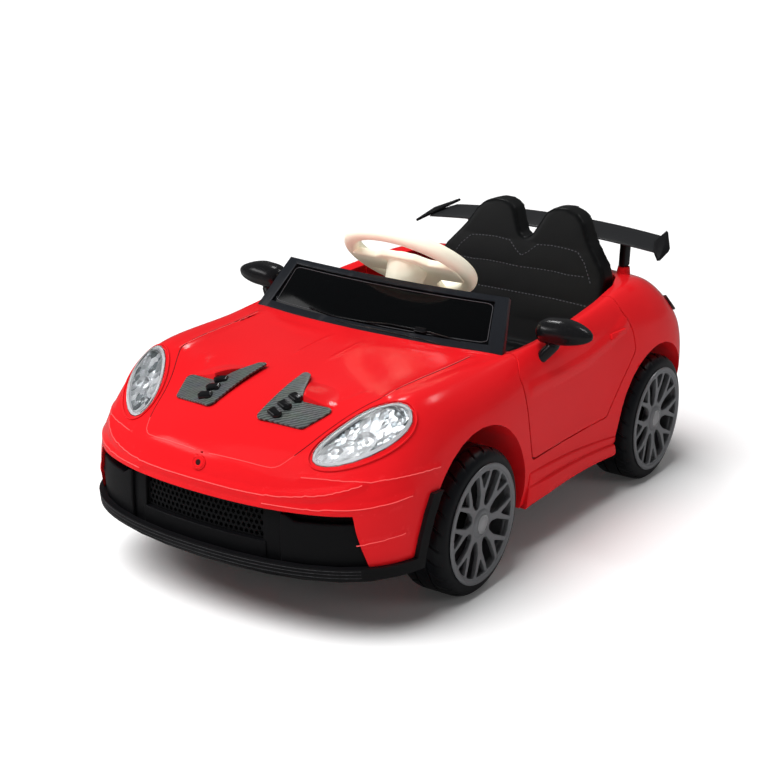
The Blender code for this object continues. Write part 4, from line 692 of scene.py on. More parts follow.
def other_side(thing):
    """A copy of the object on the car's other side, with its own mesh."""
    copy = added(thing.name, thing.data.copy())
    copy.matrix_world = thing.matrix_world
    alone(copy)
    bpy.ops.object.transform_apply(location=True, rotation=True, scale=True)
    copy.data.transform(Matrix.Scale(-1, 4, Vector((1, 0, 0))))
    copy.data.flip_normals()
    return copy


def on_side(side, *pieces):
    """Pieces made for the left, taken over to the right where the side is -1."""
    if side > 0:
        return pieces
    copies = [other_side(piece) for piece in pieces]
    for piece in pieces:
        bpy.data.objects.remove(piece, do_unlink=True)
    return copies


def tube(points, radius, closed=False, sides=2):
    """A round bar along points."""
    return tubes([points], radius, closed, sides)


def tubes(paths, radius, closed=False, sides=2):
    """Round bars of one radius along several lines of points, as one object."""
    curve = bpy.data.curves.new("tubes", "CURVE")
    curve.dimensions = "3D"
    curve.bevel_depth = radius
    curve.bevel_resolution = sides
    curve.use_fill_caps = True
    for points in paths:
        spline = curve.splines.new("POLY")
        spline.points.add(len(points) - 1)
        for point, spot in zip(spline.points, points):
            point.co = (*spot, 1.0)
        spline.use_cyclic_u = closed
    return outwards(as_mesh(curve))


def as_mesh(curve):
    """A curve's form as a new mesh object."""
    alone(added(curve.name, curve))
    bpy.ops.object.convert(target="MESH")
    return bpy.context.view_layer.objects.active


def plate(outlines, thickness, bevel=0.0, matrix=None, rounds=2):
    """Flat outlines, the first one the rim and the others holes, thickened with rounded edges, facing +Z."""
    curve = bpy.data.curves.new("plate", "CURVE")
    curve.dimensions = "2D"
    curve.fill_mode = "BOTH"
    curve.extrude = thickness / 2 - bevel
    curve.bevel_depth = bevel
    curve.bevel_resolution = rounds
    curve.offset = -bevel
    for outline in outlines:
        spline = curve.splines.new("POLY")
        spline.points.add(len(outline) - 1)
        for point, (a, b) in zip(spline.points, outline):
            point.co = (a, b, 0, 1)
        spline.use_cyclic_u = True
    thing = as_mesh(curve)
    if matrix is not None:
        thing.data.transform(matrix)
    return outwards(thing)


def rounded(points, radius, steps=4):
    """The outline with each corner replaced by an arc."""
    result = []
    count = len(points)
    for i in range(count):
        before, corner, after = Vector(points[i - 1]), Vector(points[i]), Vector(points[(i + 1) % count])
        to_before = (before - corner).normalized()
        to_after = (after - corner).normalized()
        half = to_before.angle(to_after) / 2
        reach = min(radius / math.tan(half), (before - corner).length / 2, (after - corner).length / 2)
        centre = corner + (to_before + to_after).normalized() * (reach / math.cos(half))
        start = corner + to_before * reach - centre
        turn = start.angle_signed(corner + to_after * reach - centre)
        for k in range(steps + 1):
            spot = centre + Matrix.Rotation(-turn * k / steps, 2) @ start
            result.append((spot.x, spot.y))
    return result


def ellipse(half_a, half_b, count=48):
    """Points round an ellipse."""
    angles = [2 * math.pi * k / count for k in range(count)]
    return [(half_a * math.cos(angle), half_b * math.sin(angle)) for angle in angles]


def facing(direction):
    """A turn that points Z in a direction."""
    return Vector(direction).to_track_quat("Z", "Y").to_matrix().to_4x4()


def standing_at(spot, behind=0.0):
    """Takes a flat outline upright, facing the rear, to a spot or some way behind it."""
    x, y, z = spot
    return Matrix(((1, 0, 0, x), (0, 0, 1, y + behind), (0, 1, 0, z), (0, 0, 0, 1)))


def spun(profile, steps, matrix=None):
    """A closed profile of (radius, height) turned round Z, then placed by the matrix."""
    points = [(r, 0.0, h) for r, h in profile]
    mesh = bpy.data.meshes.new("spun")
    mesh.from_pydata(points, [(i, (i + 1) % len(points)) for i in range(len(points))], [])
    thing = alone(added("spun", mesh))
    bpy.ops.object.mode_set(mode="EDIT")
    bpy.ops.mesh.select_all(action="SELECT")
    bpy.ops.mesh.spin(steps=steps, angle=2 * math.pi, center=(0, 0, 0), axis=(0, 0, 1))
    bpy.ops.mesh.select_all(action="SELECT")
    bpy.ops.mesh.remove_doubles(threshold=1e-5)
    bpy.ops.mesh.normals_make_consistent(inside=False)
    bpy.ops.object.mode_set(mode="OBJECT")
    if matrix is not None:
        thing.data.transform(matrix)
    return thing


def joined(target, *others):
    """Several shells as one object."""
    bpy.ops.object.select_all(action="DESELECT")
    for thing in (target, *others):
        thing.select_set(True)
    bpy.context.view_layer.objects.active = target
    bpy.ops.object.join()
    return target


def dense_line(points, step):
    """The line with more points, no further apart than the step."""
    result = []
    for a, b in zip(points, points[1:]):
        a, b = Vector(a), Vector(b)
        count = max(1, math.ceil((b - a).length / step))
        result += [a + (b - a) * (k / count) for k in range(count)]
    return result + [Vector(points[-1])]


def eased(points, rounds=2):
    """The line with its corners cut, so that it runs smoothly."""
    points = [Vector(p) for p in points]
    for _ in range(rounds):
        inner = []
        for a, b in zip(points, points[1:]):
            inner += [a.lerp(b, 0.25), a.lerp(b, 0.75)]
        points = [points[0], *inner[1:-1], points[-1]]
    return points


def halved(bm, edges):
    """Halves the edges and leaves triangles."""
    bmesh.ops.subdivide_edges(bm, edges=edges, cuts=1)
    bmesh.ops.triangulate(bm, faces=[f for f in bm.faces if len(f.verts) > 3], quad_method="SHORT_EDGE")


def bent(thing, place, edge=0.006):
    """Cuts a piece fine and moves each of its points to where the function says."""
    bm = bmesh.new()
    bm.from_mesh(thing.data)
    for _ in range(6):
        long_edges = [e for e in bm.edges if e.calc_length() > edge]
        if not long_edges:
            break
        halved(bm, long_edges)
    for vertex in bm.verts:
        vertex.co = place(vertex.co)
    bm.to_mesh(thing.data)
    bm.free()
    return outwards(thing)


# The hull


def near_line(point, line):
    """The distance from a point to a line of points."""
    gaps = []
    for a, b in zip(line, line[1:]):
        along = b - a
        share = unit((point - a).dot(along) / along.length_squared)
        gaps.append((point - a - along * share).length)
    return min(gaps)


class Hull:
    """The body's smooth outer form with its pressed lines, which the red panels are laid on."""

    def __init__(self):
        points = []
        for rail in RAILS:
            half = [Vector((x, at(station), z)) for x, station, z in rail]
            points += half + [Vector((-p.x, p.y, p.z)) for p in reversed(half[1:-1])]
        faces = band_faces(len(RAILS), len(points) // len(RAILS))
        guide = settle(from_points("guide", points, faces), "SUBSURF", levels=4, render_levels=4)
        mesh = guide.data
        side = max(mesh.vertices, key=lambda v: v.co.x)
        self.sense = 1 if side.normal.x > 0 else -1
        lines = []
        for line, height, width in CREASES:
            line = [Vector((x, at(s), z)) for x, s, z in line]
            low = [min(p[k] for p in line) - width for k in range(3)]
            high = [max(p[k] for p in line) + width for k in range(3)]
            lines.append((line, height, width, low, high))
        moves = []
        for vertex in mesh.vertices:
            spot = Vector((abs(vertex.co.x), vertex.co.y, vertex.co.z))
            push = 0.0
            for line, height, width, low, high in lines:
                if all(low[k] < spot[k] < high[k] for k in range(3)):
                    gap = near_line(spot, line)
                    if gap < width:
                        push += height * (1 - gap / width)
            moves.append(push)
        for vertex, push in zip(mesh.vertices, moves):
            if push:
                vertex.co += vertex.normal * (push * self.sense)
        mesh.update()
        self.points = [v.co.copy() for v in mesh.vertices]
        self.normals = [v.normal.copy() * self.sense for v in mesh.vertices]
        self.faces = [tuple(p.vertices) for p in mesh.polygons]
        self.tree = BVHTree.FromPolygons(self.points, self.faces)
        self.pressed = [any(moves[k] for k in corners) for corners in self.faces]
        bpy.data.objects.remove(guide, do_unlink=True)

    def smooth_normal(self, spot, index):
        """The normal at a spot of one face, between those of its corners."""
        corners = self.faces[index]
        weights = poly_3d_calc([self.points[k] for k in corners], spot)
        return sum((self.normals[k] * w for k, w in zip(corners, weights)), Vector()).normalized()

    def nearest(self, spot):
        """The nearest point of the form, its normal and how far outside it the spot lies."""
        found, _, index, _ = self.tree.find_nearest(spot)
        normal = self.smooth_normal(found, index)
        return found, normal, (spot - found).dot(normal)

    def is_pressed(self, spot):
        """Whether a pressed line runs through the form here."""
        return self.pressed[self.tree.find_nearest(spot)[2]]

    def side(self, station, z, height=0.0):
        """A point on the car's left side, seen from the left, lifted off by the height."""
        found, normal = self.along((1.0, at(station), max(z, 0.102)), (-1, 0, 0))
        spot = found + normal * height
        spot.z = z
        return spot

    def along(self, start, direction):
        """Where a ray meets the form, and the normal there."""
        found, _, index, _ = self.tree.ray_cast(Vector(start), Vector(direction))
        if found is None:
            raise RuntimeError(f"no hull along {start} {direction}")
        return found, self.smooth_normal(found, index)

    def nose(self, x, z, height=0.0):
        """A point on the front, seen from the front, lifted off by the height."""
        found, normal = self.along((x, -1.0, z), (0, 1, 0))
        return found + normal * height

    def top(self, x, station, height=0.0):
        """A point on the upper side, seen from above, lifted off by the height."""
        found, normal = self.along((x, at(station), 1.0), (0, 0, -1))
        return found + normal * height


def laid_on(hull, thing, lift=0.0, reach=0.0032, edge=None):
    """Cuts the faces that follow the hull fine, lays them on its smooth form and gives them its normals."""
    edge = edge or sizes().hull_edge
    bm = bmesh.new()
    bm.from_mesh(thing.data)
    mark = bm.faces.layers.int.new("on_hull")
    bm.normal_update()
    for face in bm.faces:
        _, normal, height = hull.nearest(face.calc_center_median())
        if abs(height - lift) > reach or face.normal.dot(normal) < 0.6:
            continue
        if all(abs(hull.nearest(v.co)[2] - lift) < reach for v in face.verts):
            face[mark] = 1
    for _ in range(7):
        long_edges = set()
        for one in {e for f in bm.faces if f[mark] for e in f.edges if e.calc_length() > edge * 0.4}:
            if one.calc_length() > edge or hull.is_pressed((one.verts[0].co + one.verts[1].co) / 2):
                long_edges.add(one)
        if not long_edges:
            break
        halved(bm, list(long_edges))
    for vertex in bm.verts:
        if any(f[mark] for f in vertex.link_faces):
            found, normal, _ = hull.nearest(vertex.co)
            vertex.co = found + normal * lift
    bm.to_mesh(thing.data)
    bm.free()
    smoothed(thing, 32)
    mesh = thing.data
    marks = mesh.attributes["on_hull"]
    normals = [corner.vector.copy() for corner in mesh.corner_normals]
    for face in mesh.polygons:
        if marks.data[face.index].value:
            for k in face.loop_indices:
                normals[k] = hull.nearest(mesh.vertices[mesh.loops[k].vertex_index].co)[1]
    mesh.attributes.remove(marks)
    mesh.normals_split_custom_set(normals)
    return thing


@functools.lru_cache
def hull():
    """The body's form, made when it is first asked for."""
    return Hull()


def build_body_panels():
    """The red body, both doors and the hood's seams: a pale line of painted highlight at the seam's front and
    a dark line of painted shade along its side.
    """
    body = merged_copy("body_shell")
    boss, outward = hull().along((0.0, -1.0, BOSS_Z), (0, 1, 0))
    for vertex in body.data.vertices:
        gap = vertex.co - boss
        aside = (gap - outward * gap.dot(outward)).length
        if aside < BOSS_SMOOTHED and abs(gap.dot(outward)) < BOSS_SMOOTHED_DEPTH:
            found, normal, height = hull().nearest(vertex.co)
            if height > 0.0003 or aside < BOSS_BORE:
                vertex.co = found + normal * SHELL_LIFT
    laid_on(hull(), body, lift=SHELL_LIFT)
    # The arches' flats become round
    for vertex in body.data.vertices:
        for station, radius in ARCHES:
            across = Vector((vertex.co.y - at(station), vertex.co.z - WHEEL_RADIUS))
            if abs(vertex.co.x) > 0.17 and radius - 0.0022 < across.length < radius + 0.0001:
                across *= radius / across.length
                vertex.co.y, vertex.co.z = at(station) + across.x, WHEEL_RADIUS + across.y
    finished(body, "red_body", "body", "red", "body_red", "body_shell")
    for side, end in SIDES:
        door = laid_on(hull(), merged_copy(f"door_{end}"))
        finished(door, f"red_door_{end}", f"door_{end}", "red", "body_red", f"door_{end}")
        front, back = HOOD_SEAM[:HOOD_SEAM_TURN + 1], HOOD_SEAM[HOOD_SEAM_TURN:]
        # The seam's front is a pale line of painted highlight and its side a dark line of painted shade
        for name, part, finish in (("front", front, "red_fold_highlight"), ("side", back, "shadow")):
            line = dense_line(eased(part), 0.008)
            seam = tube([hull().top(side * x, s, -0.0002) for x, s in line], SEAM_RADIUS)
            finished(seam, f"hood_seam_{name}_{end}", "body", finish, "body_red", smooth=40)


def slab_on_nose(outlines, depth, thickness, bevel, edge=0.007):
    """A plate seen from the front as (x, z), laid at a depth behind the nose's form."""
    flat = plate(outlines, thickness, bevel)
    return bent(flat, lambda spot: hull().nose(spot.x, spot.y, spot.z - depth - thickness / 2), edge)


def honeycomb(half_width, low, high, pitch):
    """Six-sided openings, taller than wide, in offset rows."""
    holes = []
    rows = int((high - low) / (pitch * 0.92))
    for row in range(rows):
        z = low + (row + 0.5) * (high - low) / rows
        count = int(2 * half_width / pitch) - row % 2
        for i in range(count):
            x = (i - (count - 1) / 2) * pitch
            holes.append([
                (x + pitch * 0.36 * math.sin(math.pi * k / 3), z + pitch * 0.42 * math.cos(math.pi * k / 3))
                for k in range(6)
            ])
    return holes


def build_front_trim():
    """Honeycomb grille with its side panels behind the intake, the splitter and the rear skirt."""
    mesh = slab_on_nose(
        [[(-0.116, 0.134), (0.116, 0.134), (0.116, 0.190), (-0.116, 0.190)],
         *honeycomb(0.110, 0.141, 0.185, sizes().mesh_pitch)], 0.016, 0.003, 0.0003, 0.010,
    )
    finished(mesh, "grille_mesh", "body", "black", "satin_black", "front_grille", smooth=30)
    # A near-black sheet behind the honeycomb: painted shade inside the intake
    backing = slab_on_nose(
        [[(-0.252, 0.104), (0.252, 0.104), (0.236, 0.198), (-0.236, 0.198)]], 0.022, 0.002, 0.0004, 0.014
    )
    finished(backing, "grille_painted_shade_sheet", "body", "shadow_black", "satin_black", smooth=30)
    bar_outline = rounded([(-0.115, 0.104), (0.115, 0.104), (0.115, 0.139), (-0.115, 0.139)], 0.002)
    bar = slab_on_nose([bar_outline], 0.008, 0.010, 0.0015)
    finished(bar, "intake_lower_bar", "body", "black", "satin_black", smooth=35)
    post_outline = rounded([(0.110, 0.104), (0.139, 0.104), (0.139, 0.190), (0.110, 0.190)], 0.002)
    wide_outline = rounded([
        (0.138, 0.105), (0.252, 0.105), (0.238, 0.180), (0.160, 0.178), (0.146, 0.187), (0.138, 0.188)
    ], 0.005)
    for side, end in SIDES:
        post = slab_on_nose([post_outline], 0.010, 0.010, 0.0015)
        (panel,) = on_side(side, joined(post, slab_on_nose([wide_outline], 0.0048, 0.014, 0.0025)))
        finished(panel, f"intake_panel_{end}", "body", "black", "satin_black", smooth=35)
    splitter = laid_on(hull(), merged_copy("front_splitter"), lift=SPLITTER_LIFT, edge=0.012)
    finished(splitter, "splitter", "body", "black", "satin_black", "front_splitter")
    # Thin grey lines along the splitter's front: painted highlight on its edges
    ridges = tubes([
        [hull().nose(x / 200, z, RIDGE_LIFT) for x in range(-48, 49)] for z in (0.1135, 0.1085, 0.1030)
    ], EDGE_RADIUS)
    finished(ridges, "splitter_ridge_highlights", "body", "black_edge_highlight", "satin_black", smooth=40)
    valance = laid_on(hull(), merged_copy("rear_valance"), lift=VALANCE_LIFT, edge=0.014)
    finished(valance, "rear_skirt", "body", "black", "satin_black", "rear_valance")


def fold_highlight_lines(side):
    """Thin pale tubes along the body's pressed lines: painted highlight where the moulded folds catch the
    light.
    """
    paths = []
    for index in BODY_FOLDS:
        line = [Vector((side * x, at(s), z)) for x, s, z in CREASES[index][0]]
        near = [hull().nearest(spot) for spot in dense_line(eased(line), 0.006)]
        paths.append([found - normal * 0.0003 for found, normal, _ in near])
    return tubes(paths, EDGE_RADIUS)


def side_skirt():
    """The left sill's stepped skirt, which narrows to the rear."""
    steps = 26
    points = []
    for step in range(steps + 1):
        t = step / steps
        swell = min(1.0, 0.35 + 3.2 * t) * (1 - 0.25 * t)
        foot = 0.0815 + 0.005 * math.sin(math.pi * t)
        for up, out in SKIRT_SECTION:
            lift = out * swell if out > 0 else out
            points.append(hull().side(SKIRT_FRONT + SKIRT_LENGTH * t, foot + up * (1 - 0.42 * t), lift))
    faces = band_faces(steps + 1, len(SKIRT_SECTION), capped=True)
    return bevelled(from_points("skirt", points, faces), 0.0012, 2, 25)


def build_body_details():
    """Pale lines of painted highlight along the folds, side skirts, door handles, and the hood's boss ring
    with a dark disc of painted shade in its hole.
    """
    centre, normal = hull().along((0.0, -1.0, BOSS_Z), (0, 1, 0))
    place = Matrix.Translation(centre) @ facing(normal)
    hole = ellipse(BOSS_HOLE, BOSS_HOLE, 32)
    boss = plate([ellipse(*BOSS_RIM), hole], 0.0032, 0.0010, place, rounds=3)
    groove = tube([place @ Vector((a, b, 0.0017)) for a, b in ellipse(*BOSS_GROOVE)], SEAM_RADIUS, True)
    finished(joined(boss, groove), "boss_ring", "body", "red", "body_red", smooth=50)
    # A dark disc in the boss's hole: painted shade
    dark = plate([hole], 0.0020, 0.0, place)
    finished(dark, "boss_hole_painted_shade", "body", "shadow", "satin_black", smooth=50)
    for side, end in SIDES:
        finished(fold_highlight_lines(side), f"body_fold_highlights_{end}", "body", "red_fold_highlight", "body_red", smooth=50)
        skirt = side_skirt()
        handle = bent(
            plate([rounded(HANDLE_OUTLINE, 0.003, 5)], 0.0044, 0.0016, rounds=3),
            lambda spot: hull().side(spot.x, HANDLE_Z + spot.y, spot.z + 0.0012), 0.005,
        )
        skirt, handle = on_side(side, skirt, handle)
        finished(skirt, f"side_skirt_{end}", "body", "red", "body_red", smooth=30)
        finished(handle, f"door_handle_{end}", f"door_{end}", "red", "body_red", smooth=40)


def lamp_outline(growth, count=48):
    """The headlight in plan: an egg with its blunt end at the rear, as (x, station)."""
    points = []
    for step in range(count):
        angle = 2 * math.pi * step / count
        ahead = (LAMP_HALF_LENGTH + growth) * math.cos(angle)
        width = LAMP_HALF_WIDTH * (1 + LAMP_TAPER * math.cos(angle)) + growth
        across = width * math.sin(angle)
        points.append((
            LAMP_X + ahead * math.cos(LAMP_TURN) - across * math.sin(LAMP_TURN),
            LAMP_STATION + ahead * math.sin(LAMP_TURN) + across * math.cos(LAMP_TURN),
        ))
    return points


def lamp_pan():
    """The left reflector: a deep pan with facets across it, as a grid that narrows to its middle."""
    rim = lamp_outline(-0.0008)
    count = len(rim)
    ahead = Vector((math.cos(LAMP_TURN), math.sin(LAMP_TURN)))
    points = []
    shares = [1.0, 0.97, 0.93, 0.86, 0.78, 0.70, 0.60, 0.50, 0.38, 0.26, 0.14, 0.05]
    for share in shares:
        for x, station in rim:
            x = LAMP_X + (x - LAMP_X) * share
            station = LAMP_STATION + (station - LAMP_STATION) * share
            along = (x - LAMP_X) * ahead.x + (station - LAMP_STATION) * ahead.y
            facet = abs((along / 0.0042) % 2 - 1) * 0.0016 * min(1.0, 6 * (1 - share))
            points.append(hull().top(x, station, -0.0022 - 0.0105 * (1 - share ** 3) + facet))
    middle = tuple((len(shares) - 1) * count + i for i in range(count))
    return from_points("pan", points, [*band_faces(len(shares), count), middle])


def lamp_bowl(x, station, radius):
    """A round reflector bowl that faces forwards and up, with a bulb's dome in its middle."""
    spot = hull().top(x, station, -0.0105)
    place = Matrix.Translation(spot) @ facing((0.25, -0.80, 0.55)) @ Matrix.Scale(radius, 4)
    dish = spun([
        (0.0, -0.42), (0.35, -0.38), (0.62, -0.26), (0.82, -0.06), (0.92, 0.12), (1.0, 0.16), (1.04, 0.08),
        (0.94, -0.16), (0.66, -0.42), (0.0, -0.56),
    ], 32, place)
    bulb = spun([(0.0, 0.10), (0.14, 0.07), (0.22, -0.06), (0.24, -0.40), (0.0, -0.42)], 20, place)
    return joined(dish, bulb)


def build_headlamps():
    """Clear lens, faceted reflector with two bowls, and a pale rim round each lamp."""
    for side, end in SIDES:
        lens = laid_on(hull(), merged_copy(f"headlight_lens_{end}"), lift=LENS_LIFT, edge=0.008)
        finished(lens, f"lamp_lens_{end}", "body", "clear", "lens", f"headlight_lens_{end}")
        pan = joined(lamp_pan(), *[lamp_bowl(*bowl) for bowl in LAMP_BOWLS])
        points = []
        for growth, height in ((-0.0010, 0.0004), (-0.0048, 0.0000), (-0.0056, -0.0040)):
            points += [hull().top(x, s, height) for x, s in lamp_outline(growth)]
        rim = from_points("rim", points, band_faces(3, len(points) // 3))
        lip = tube([hull().top(x, s, 0.0010) for x, s in lamp_outline(0.0052)], LIP_RADIUS, True)
        pan, rim, lip = on_side(side, pan, rim, lip)
        finished(
            pan, f"lamp_reflector_{end}", "body", "reflector", "reflector", f"headlight_reflector_{end}",
            smooth=30,
        )
        finished(rim, f"lamp_rim_{end}", "body", "pale", "reflector", smooth=50)
        finished(lip, f"lamp_lip_{end}", "body", "red", "body_red", smooth=50)


def vent_block(x, station):
    """One of the vent's dark blocks, standing on the hood."""
    block = plate([rounded(BLOCK_OUTLINE, 0.003)], 0.012, 0.0030)
    up = hull().top(x, station, 1.0) - hull().top(x, station, 0.0)
    ahead = up.cross(Vector((0.93, -0.30, -0.20)).normalized()).normalized()
    across = ahead.cross(up).normalized()
    turn = Matrix((across, ahead, up)).transposed().to_4x4()
    block.data.transform(Matrix.Translation(hull().top(x, station, 0.0045)) @ turn)
    return block


def vent_scoop():
    """A red ramp beside the vent's plate, with its two free edges turned down into the hood."""
    grid = 12
    feet = [Vector(SCOOP_FOOT[0]).lerp(Vector(SCOOP_FOOT[1]), i / grid) for i in range(grid + 1)]
    crests = [Vector(SCOOP_CREST[0]).lerp(Vector(SCOOP_CREST[1]), i / grid) for i in range(grid + 1)]
    points, faces = [], []
    for i in range(grid + 1):
        for k in range(grid + 1):
            u, v = i / grid, k / grid
            spot = feet[i].lerp(crests[i], v)
            rise = 0.0150 * math.sin(math.pi / 2 * v) ** 1.3 * (1 - u) ** 1.2 - 0.0008
            points.append(hull().top(spot.x, spot.y, rise))
    for i in range(grid):
        for k in range(grid):
            a = i * (grid + 1) + k
            faces.append((a, a + 1, a + grid + 2, a + grid + 1))
    edge = [*range(grid + 1), *[i * (grid + 1) + grid for i in range(1, grid + 1)]]
    base = len(points)
    for k in edge:
        point = points[k]
        points.append(Vector((point.x, point.y, hull().top(point.x, point.y - FRONT_AXLE_Y, -0.002).z)))
    faces += [(edge[n], edge[n + 1], base + n + 1, base + n) for n in range(len(edge) - 1)]
    return bevelled(from_points("scoop", points, faces), 0.0015, 2, 50)


def build_hood_vents():
    """Carbon look plates with a raised arm and three dark blocks, and a red scoop beside each."""
    def on_hood(spot):
        rise = unit((0.052 + spot.y + 0.200) / 0.110)
        arm = unit((0.082 - spot.x) / 0.020)
        return hull().top(spot.x, spot.y, 0.0018 + spot.z + 0.0035 * rise * arm)

    for side, end in SIDES:
        vent = bent(plate([rounded(VENT_OUTLINE, 0.0085)], 0.0036, 0.0009), on_hood)
        blocks = joined(*[vent_block(x, station) for x, station in VENT_BLOCKS])
        vent, blocks, scoop = on_side(side, vent, blocks, vent_scoop())
        finished(vent, f"vent_plate_{end}", "body", "carbon", "satin_black", f"hood_vent_{end}", smooth=35)
        finished(scoop, f"vent_scoop_{end}", "body", "red", "body_red", smooth=45)
        finished(blocks, f"vent_blocks_{end}", "body", "gloss_black", "satin_black", smooth=35)


def screen_point(u, v, depth):
    """A point of the windscreen: u across from -1 to 1, v up from 0 to 1, depth rearwards."""
    half, station, bow, z = SCREEN_BASE
    base = Vector((half * u, at(station + bow * u * u), z))
    half, station, bow, z = SCREEN_TOP
    top = Vector((half * u, at(station + bow * u * u), z))
    rise = (top - base).normalized()
    return base + (top - base) * v + Vector((0, rise.z, -rise.y)).normalized() * depth


def screen_patch(u_reach, low, high, front, back, columns=48):
    """A curved slab that follows the windscreen between two heights and two depths."""
    points, faces = [], []
    for i in range(columns + 1):
        u = u_reach * (2 * i / columns - 1)
        for v, depth in ((low, front), (high, front), (high, back), (low, back)):
            points.append(screen_point(u, v, depth))
    for i in range(columns):
        for k in range(4):
            n = (k + 1) % 4
            faces.append((4 * i + k, 4 * i + 4 + k, 4 * i + 4 + n, 4 * i + n))
    faces += [(0, 1, 2, 3), tuple(4 * columns + k for k in (3, 2, 1, 0))]
    return from_points("screen", points, faces)


def build_windscreen():
    """Black frame with rounded edges, gloss dark pane with a grey line of painted highlight round it, and a
    moulded wiper.
    """
    surround = screen_patch(1.0, -0.08, 1.0, 0.0, 0.010)
    take_away(surround, screen_patch(0.90, 0.16, 0.90, -0.01, 0.02))
    bevelled(surround, 0.0016, 3, 40)
    finished(surround, "screen_frame", "body", "frame", "satin_black", "windscreen_frame", smooth=35)
    pane = bevelled(screen_patch(0.9025, 0.158, 0.902, 0.003, 0.006), 0.0006, 2, 40)
    finished(pane, "screen_pane", "body", "pane", "pane_black", "windscreen_pane", smooth=35)
    arms = [[screen_point(u, v, 0.0006) for u, v in dense_line(line, 0.05)] for line in WIPERS]
    wiper = tubes(arms, WIPER_RADIUS)
    # The grey line round the pane is painted highlight along its groove
    corners = rounded([(-0.885, 0.20), (0.885, 0.20), (0.885, 0.865), (-0.885, 0.865)], 0.06)
    inner = [screen_point(u, v, 0.0028) for u, v in dense_line(corners + [(-0.865, 0.20)], 0.04)]
    finished(tube(inner, SEAM_RADIUS), "pane_highlight_line", "body", "black_edge_highlight", "satin_black", smooth=40)
    clip = screen_patch(0.045, 0.19, 0.27, -0.003, 0.003, 6)
    clip.data.transform(Matrix.Translation(screen_point(0.41, 0.23, 0.0) - screen_point(0.0, 0.23, 0.0)))
    bevelled(clip, 0.001, 2, 40)
    finished(joined(wiper, clip), "moulded_wiper", "body", "gloss_black", "satin_black", smooth=40)


def build_mirrors():
    """Door mirrors: a broad egg-shaped head with a ridge round it, on a stalk, and its glass."""
    centre = Vector((MIRROR_CENTRE[0], at(MIRROR_CENTRE[1]), MIRROR_CENTRE[2]))
    foot = Vector((MIRROR_FOOT[0], at(MIRROR_FOOT[1]), MIRROR_FOOT[2]))
    half_x, half_y, half_z = MIRROR_HALF
    rings, around = 28, 40
    points = []
    for i in range(rings + 1):
        u = -math.cos(math.pi * i / rings) * 0.999
        reach = (1 - abs(u) ** (5.0 if u < 0 else 1.7)) ** (1 / 1.9)
        for k in range(around):
            a = 2 * math.pi * k / around
            c, s = math.cos(a), math.sin(a)
            y = bulged(c, 0.80) * half_y * reach
            z = bulged(s, 0.85) * half_z * reach * (1 - 0.18 * max(0.0, u))
            if z < -0.001:
                y *= 0.86
                z = -0.66 * half_z * reach ** 0.8 * abs(s) ** 0.5
            points.append((half_x * u, min(y, 0.0128), z))
    head = from_points("head", points, band_faces(rings + 1, around, capped=True))
    head.data.transform(Matrix.Translation(centre) @ Matrix.Rotation(math.radians(-4), 4, "Y"))
    line = [foot, foot.lerp(centre, 0.25), foot.lerp(centre, 0.5), centre + Vector((-0.014, 0.0, -0.006))]
    stalk = tube(line, 0.0098, sides=5)
    deeper = Matrix.Diagonal((1.0, 1.25, 1.0, 1.0))
    stalk.data.transform(Matrix.Translation(foot) @ deeper @ Matrix.Translation(-foot))
    head = settle(joined(head, stalk), "REMESH", mode="VOXEL", voxel_size=0.0012)
    settle(head, "SMOOTH", factor=0.5, iterations=2)
    take_away(head, plate([ellipse(0.035, 0.0150)], 0.020, 0.0, standing_at(centre, 0.0190)))
    glass = plate([ellipse(0.0343, 0.0143)], 0.0026, 0.0006, standing_at(centre, 0.0105))
    for side, end in SIDES:
        for piece, name, finish, slot, node in (
            (head, "mirror_head", "mirror_shell", "satin_black", "mirror"),
            (glass, "mirror_silver", "film", "mirror_silver", "mirror_glass"),
        ):
            shown = piece if side > 0 else other_side(piece)
            finished(shown, f"{name}_{end}", f"door_{end}", finish, slot, f"{node}_{end}", smooth=40)


def build_seat():
    """The hard moulded seat: rounded humps, swelling rows and moulded stitches drawn grey as painted
    highlight.
    """
    seat = merged_copy("seat")
    notch = max(v.co.z for v in seat.data.vertices if abs(v.co.x) < 0.004)
    slot = [(-0.0130, notch), (0.0130, notch), (0.020, notch + 0.07), (-0.020, notch + 0.07)]
    take_away(seat, plate([rounded(slot, 0.0125, 8)], 0.4, 0.0, standing_at((0, 0.25, 0))))
    settle(seat, "REMESH", mode="VOXEL", voxel_size=0.0034)
    settle(seat, "SMOOTH", factor=0.6, iterations=9)
    for vertex in seat.data.vertices:
        x, z = vertex.co.x, vertex.co.z
        if vertex.normal.y > -0.35 or z < 0.25:
            continue
        for low, high in zip(SEAT_ROWS, SEAT_ROWS[1:]):
            if low < z < high:
                swell = math.sin(math.pi * (z - low) / (high - low)) ** 0.6
                hump = 1 - 0.55 * math.exp(-((x / 0.020) ** 2))
                vertex.co.y -= 0.0006 * swell * hump * max(0.0, 1 - (abs(x) / 0.172) ** 6)
    seat.data.update()
    faces = [tuple(p.vertices) for p in seat.data.polygons]
    tree = BVHTree.FromPolygons([v.co for v in seat.data.vertices], faces)
    dashes = []
    for line in SEAT_STITCHES:
        for side in (1, -1):
            path = dense_line([(side * x, z) for x, z in line], 0.0012)
            for start in range(0, len(path) - 5, 6):
                stitch = []
                for spot in path[start:start + 4]:
                    found = tree.ray_cast(Vector((spot.x, -0.5, spot.y)), Vector((0, 1, 0)))[0]
                    if found is not None:
                        stitch.append(found - Vector((0, 0.0001, 0)))
                if len(stitch) > 1:
                    dashes.append(stitch)
    finished(seat, "moulded_seat", "body", "seat", "satin_black", "seat", smooth=60)
    finished(tubes(dashes, EDGE_RADIUS, sides=1), "seat_stitches", "body", "stitch", "satin_black", smooth=60)


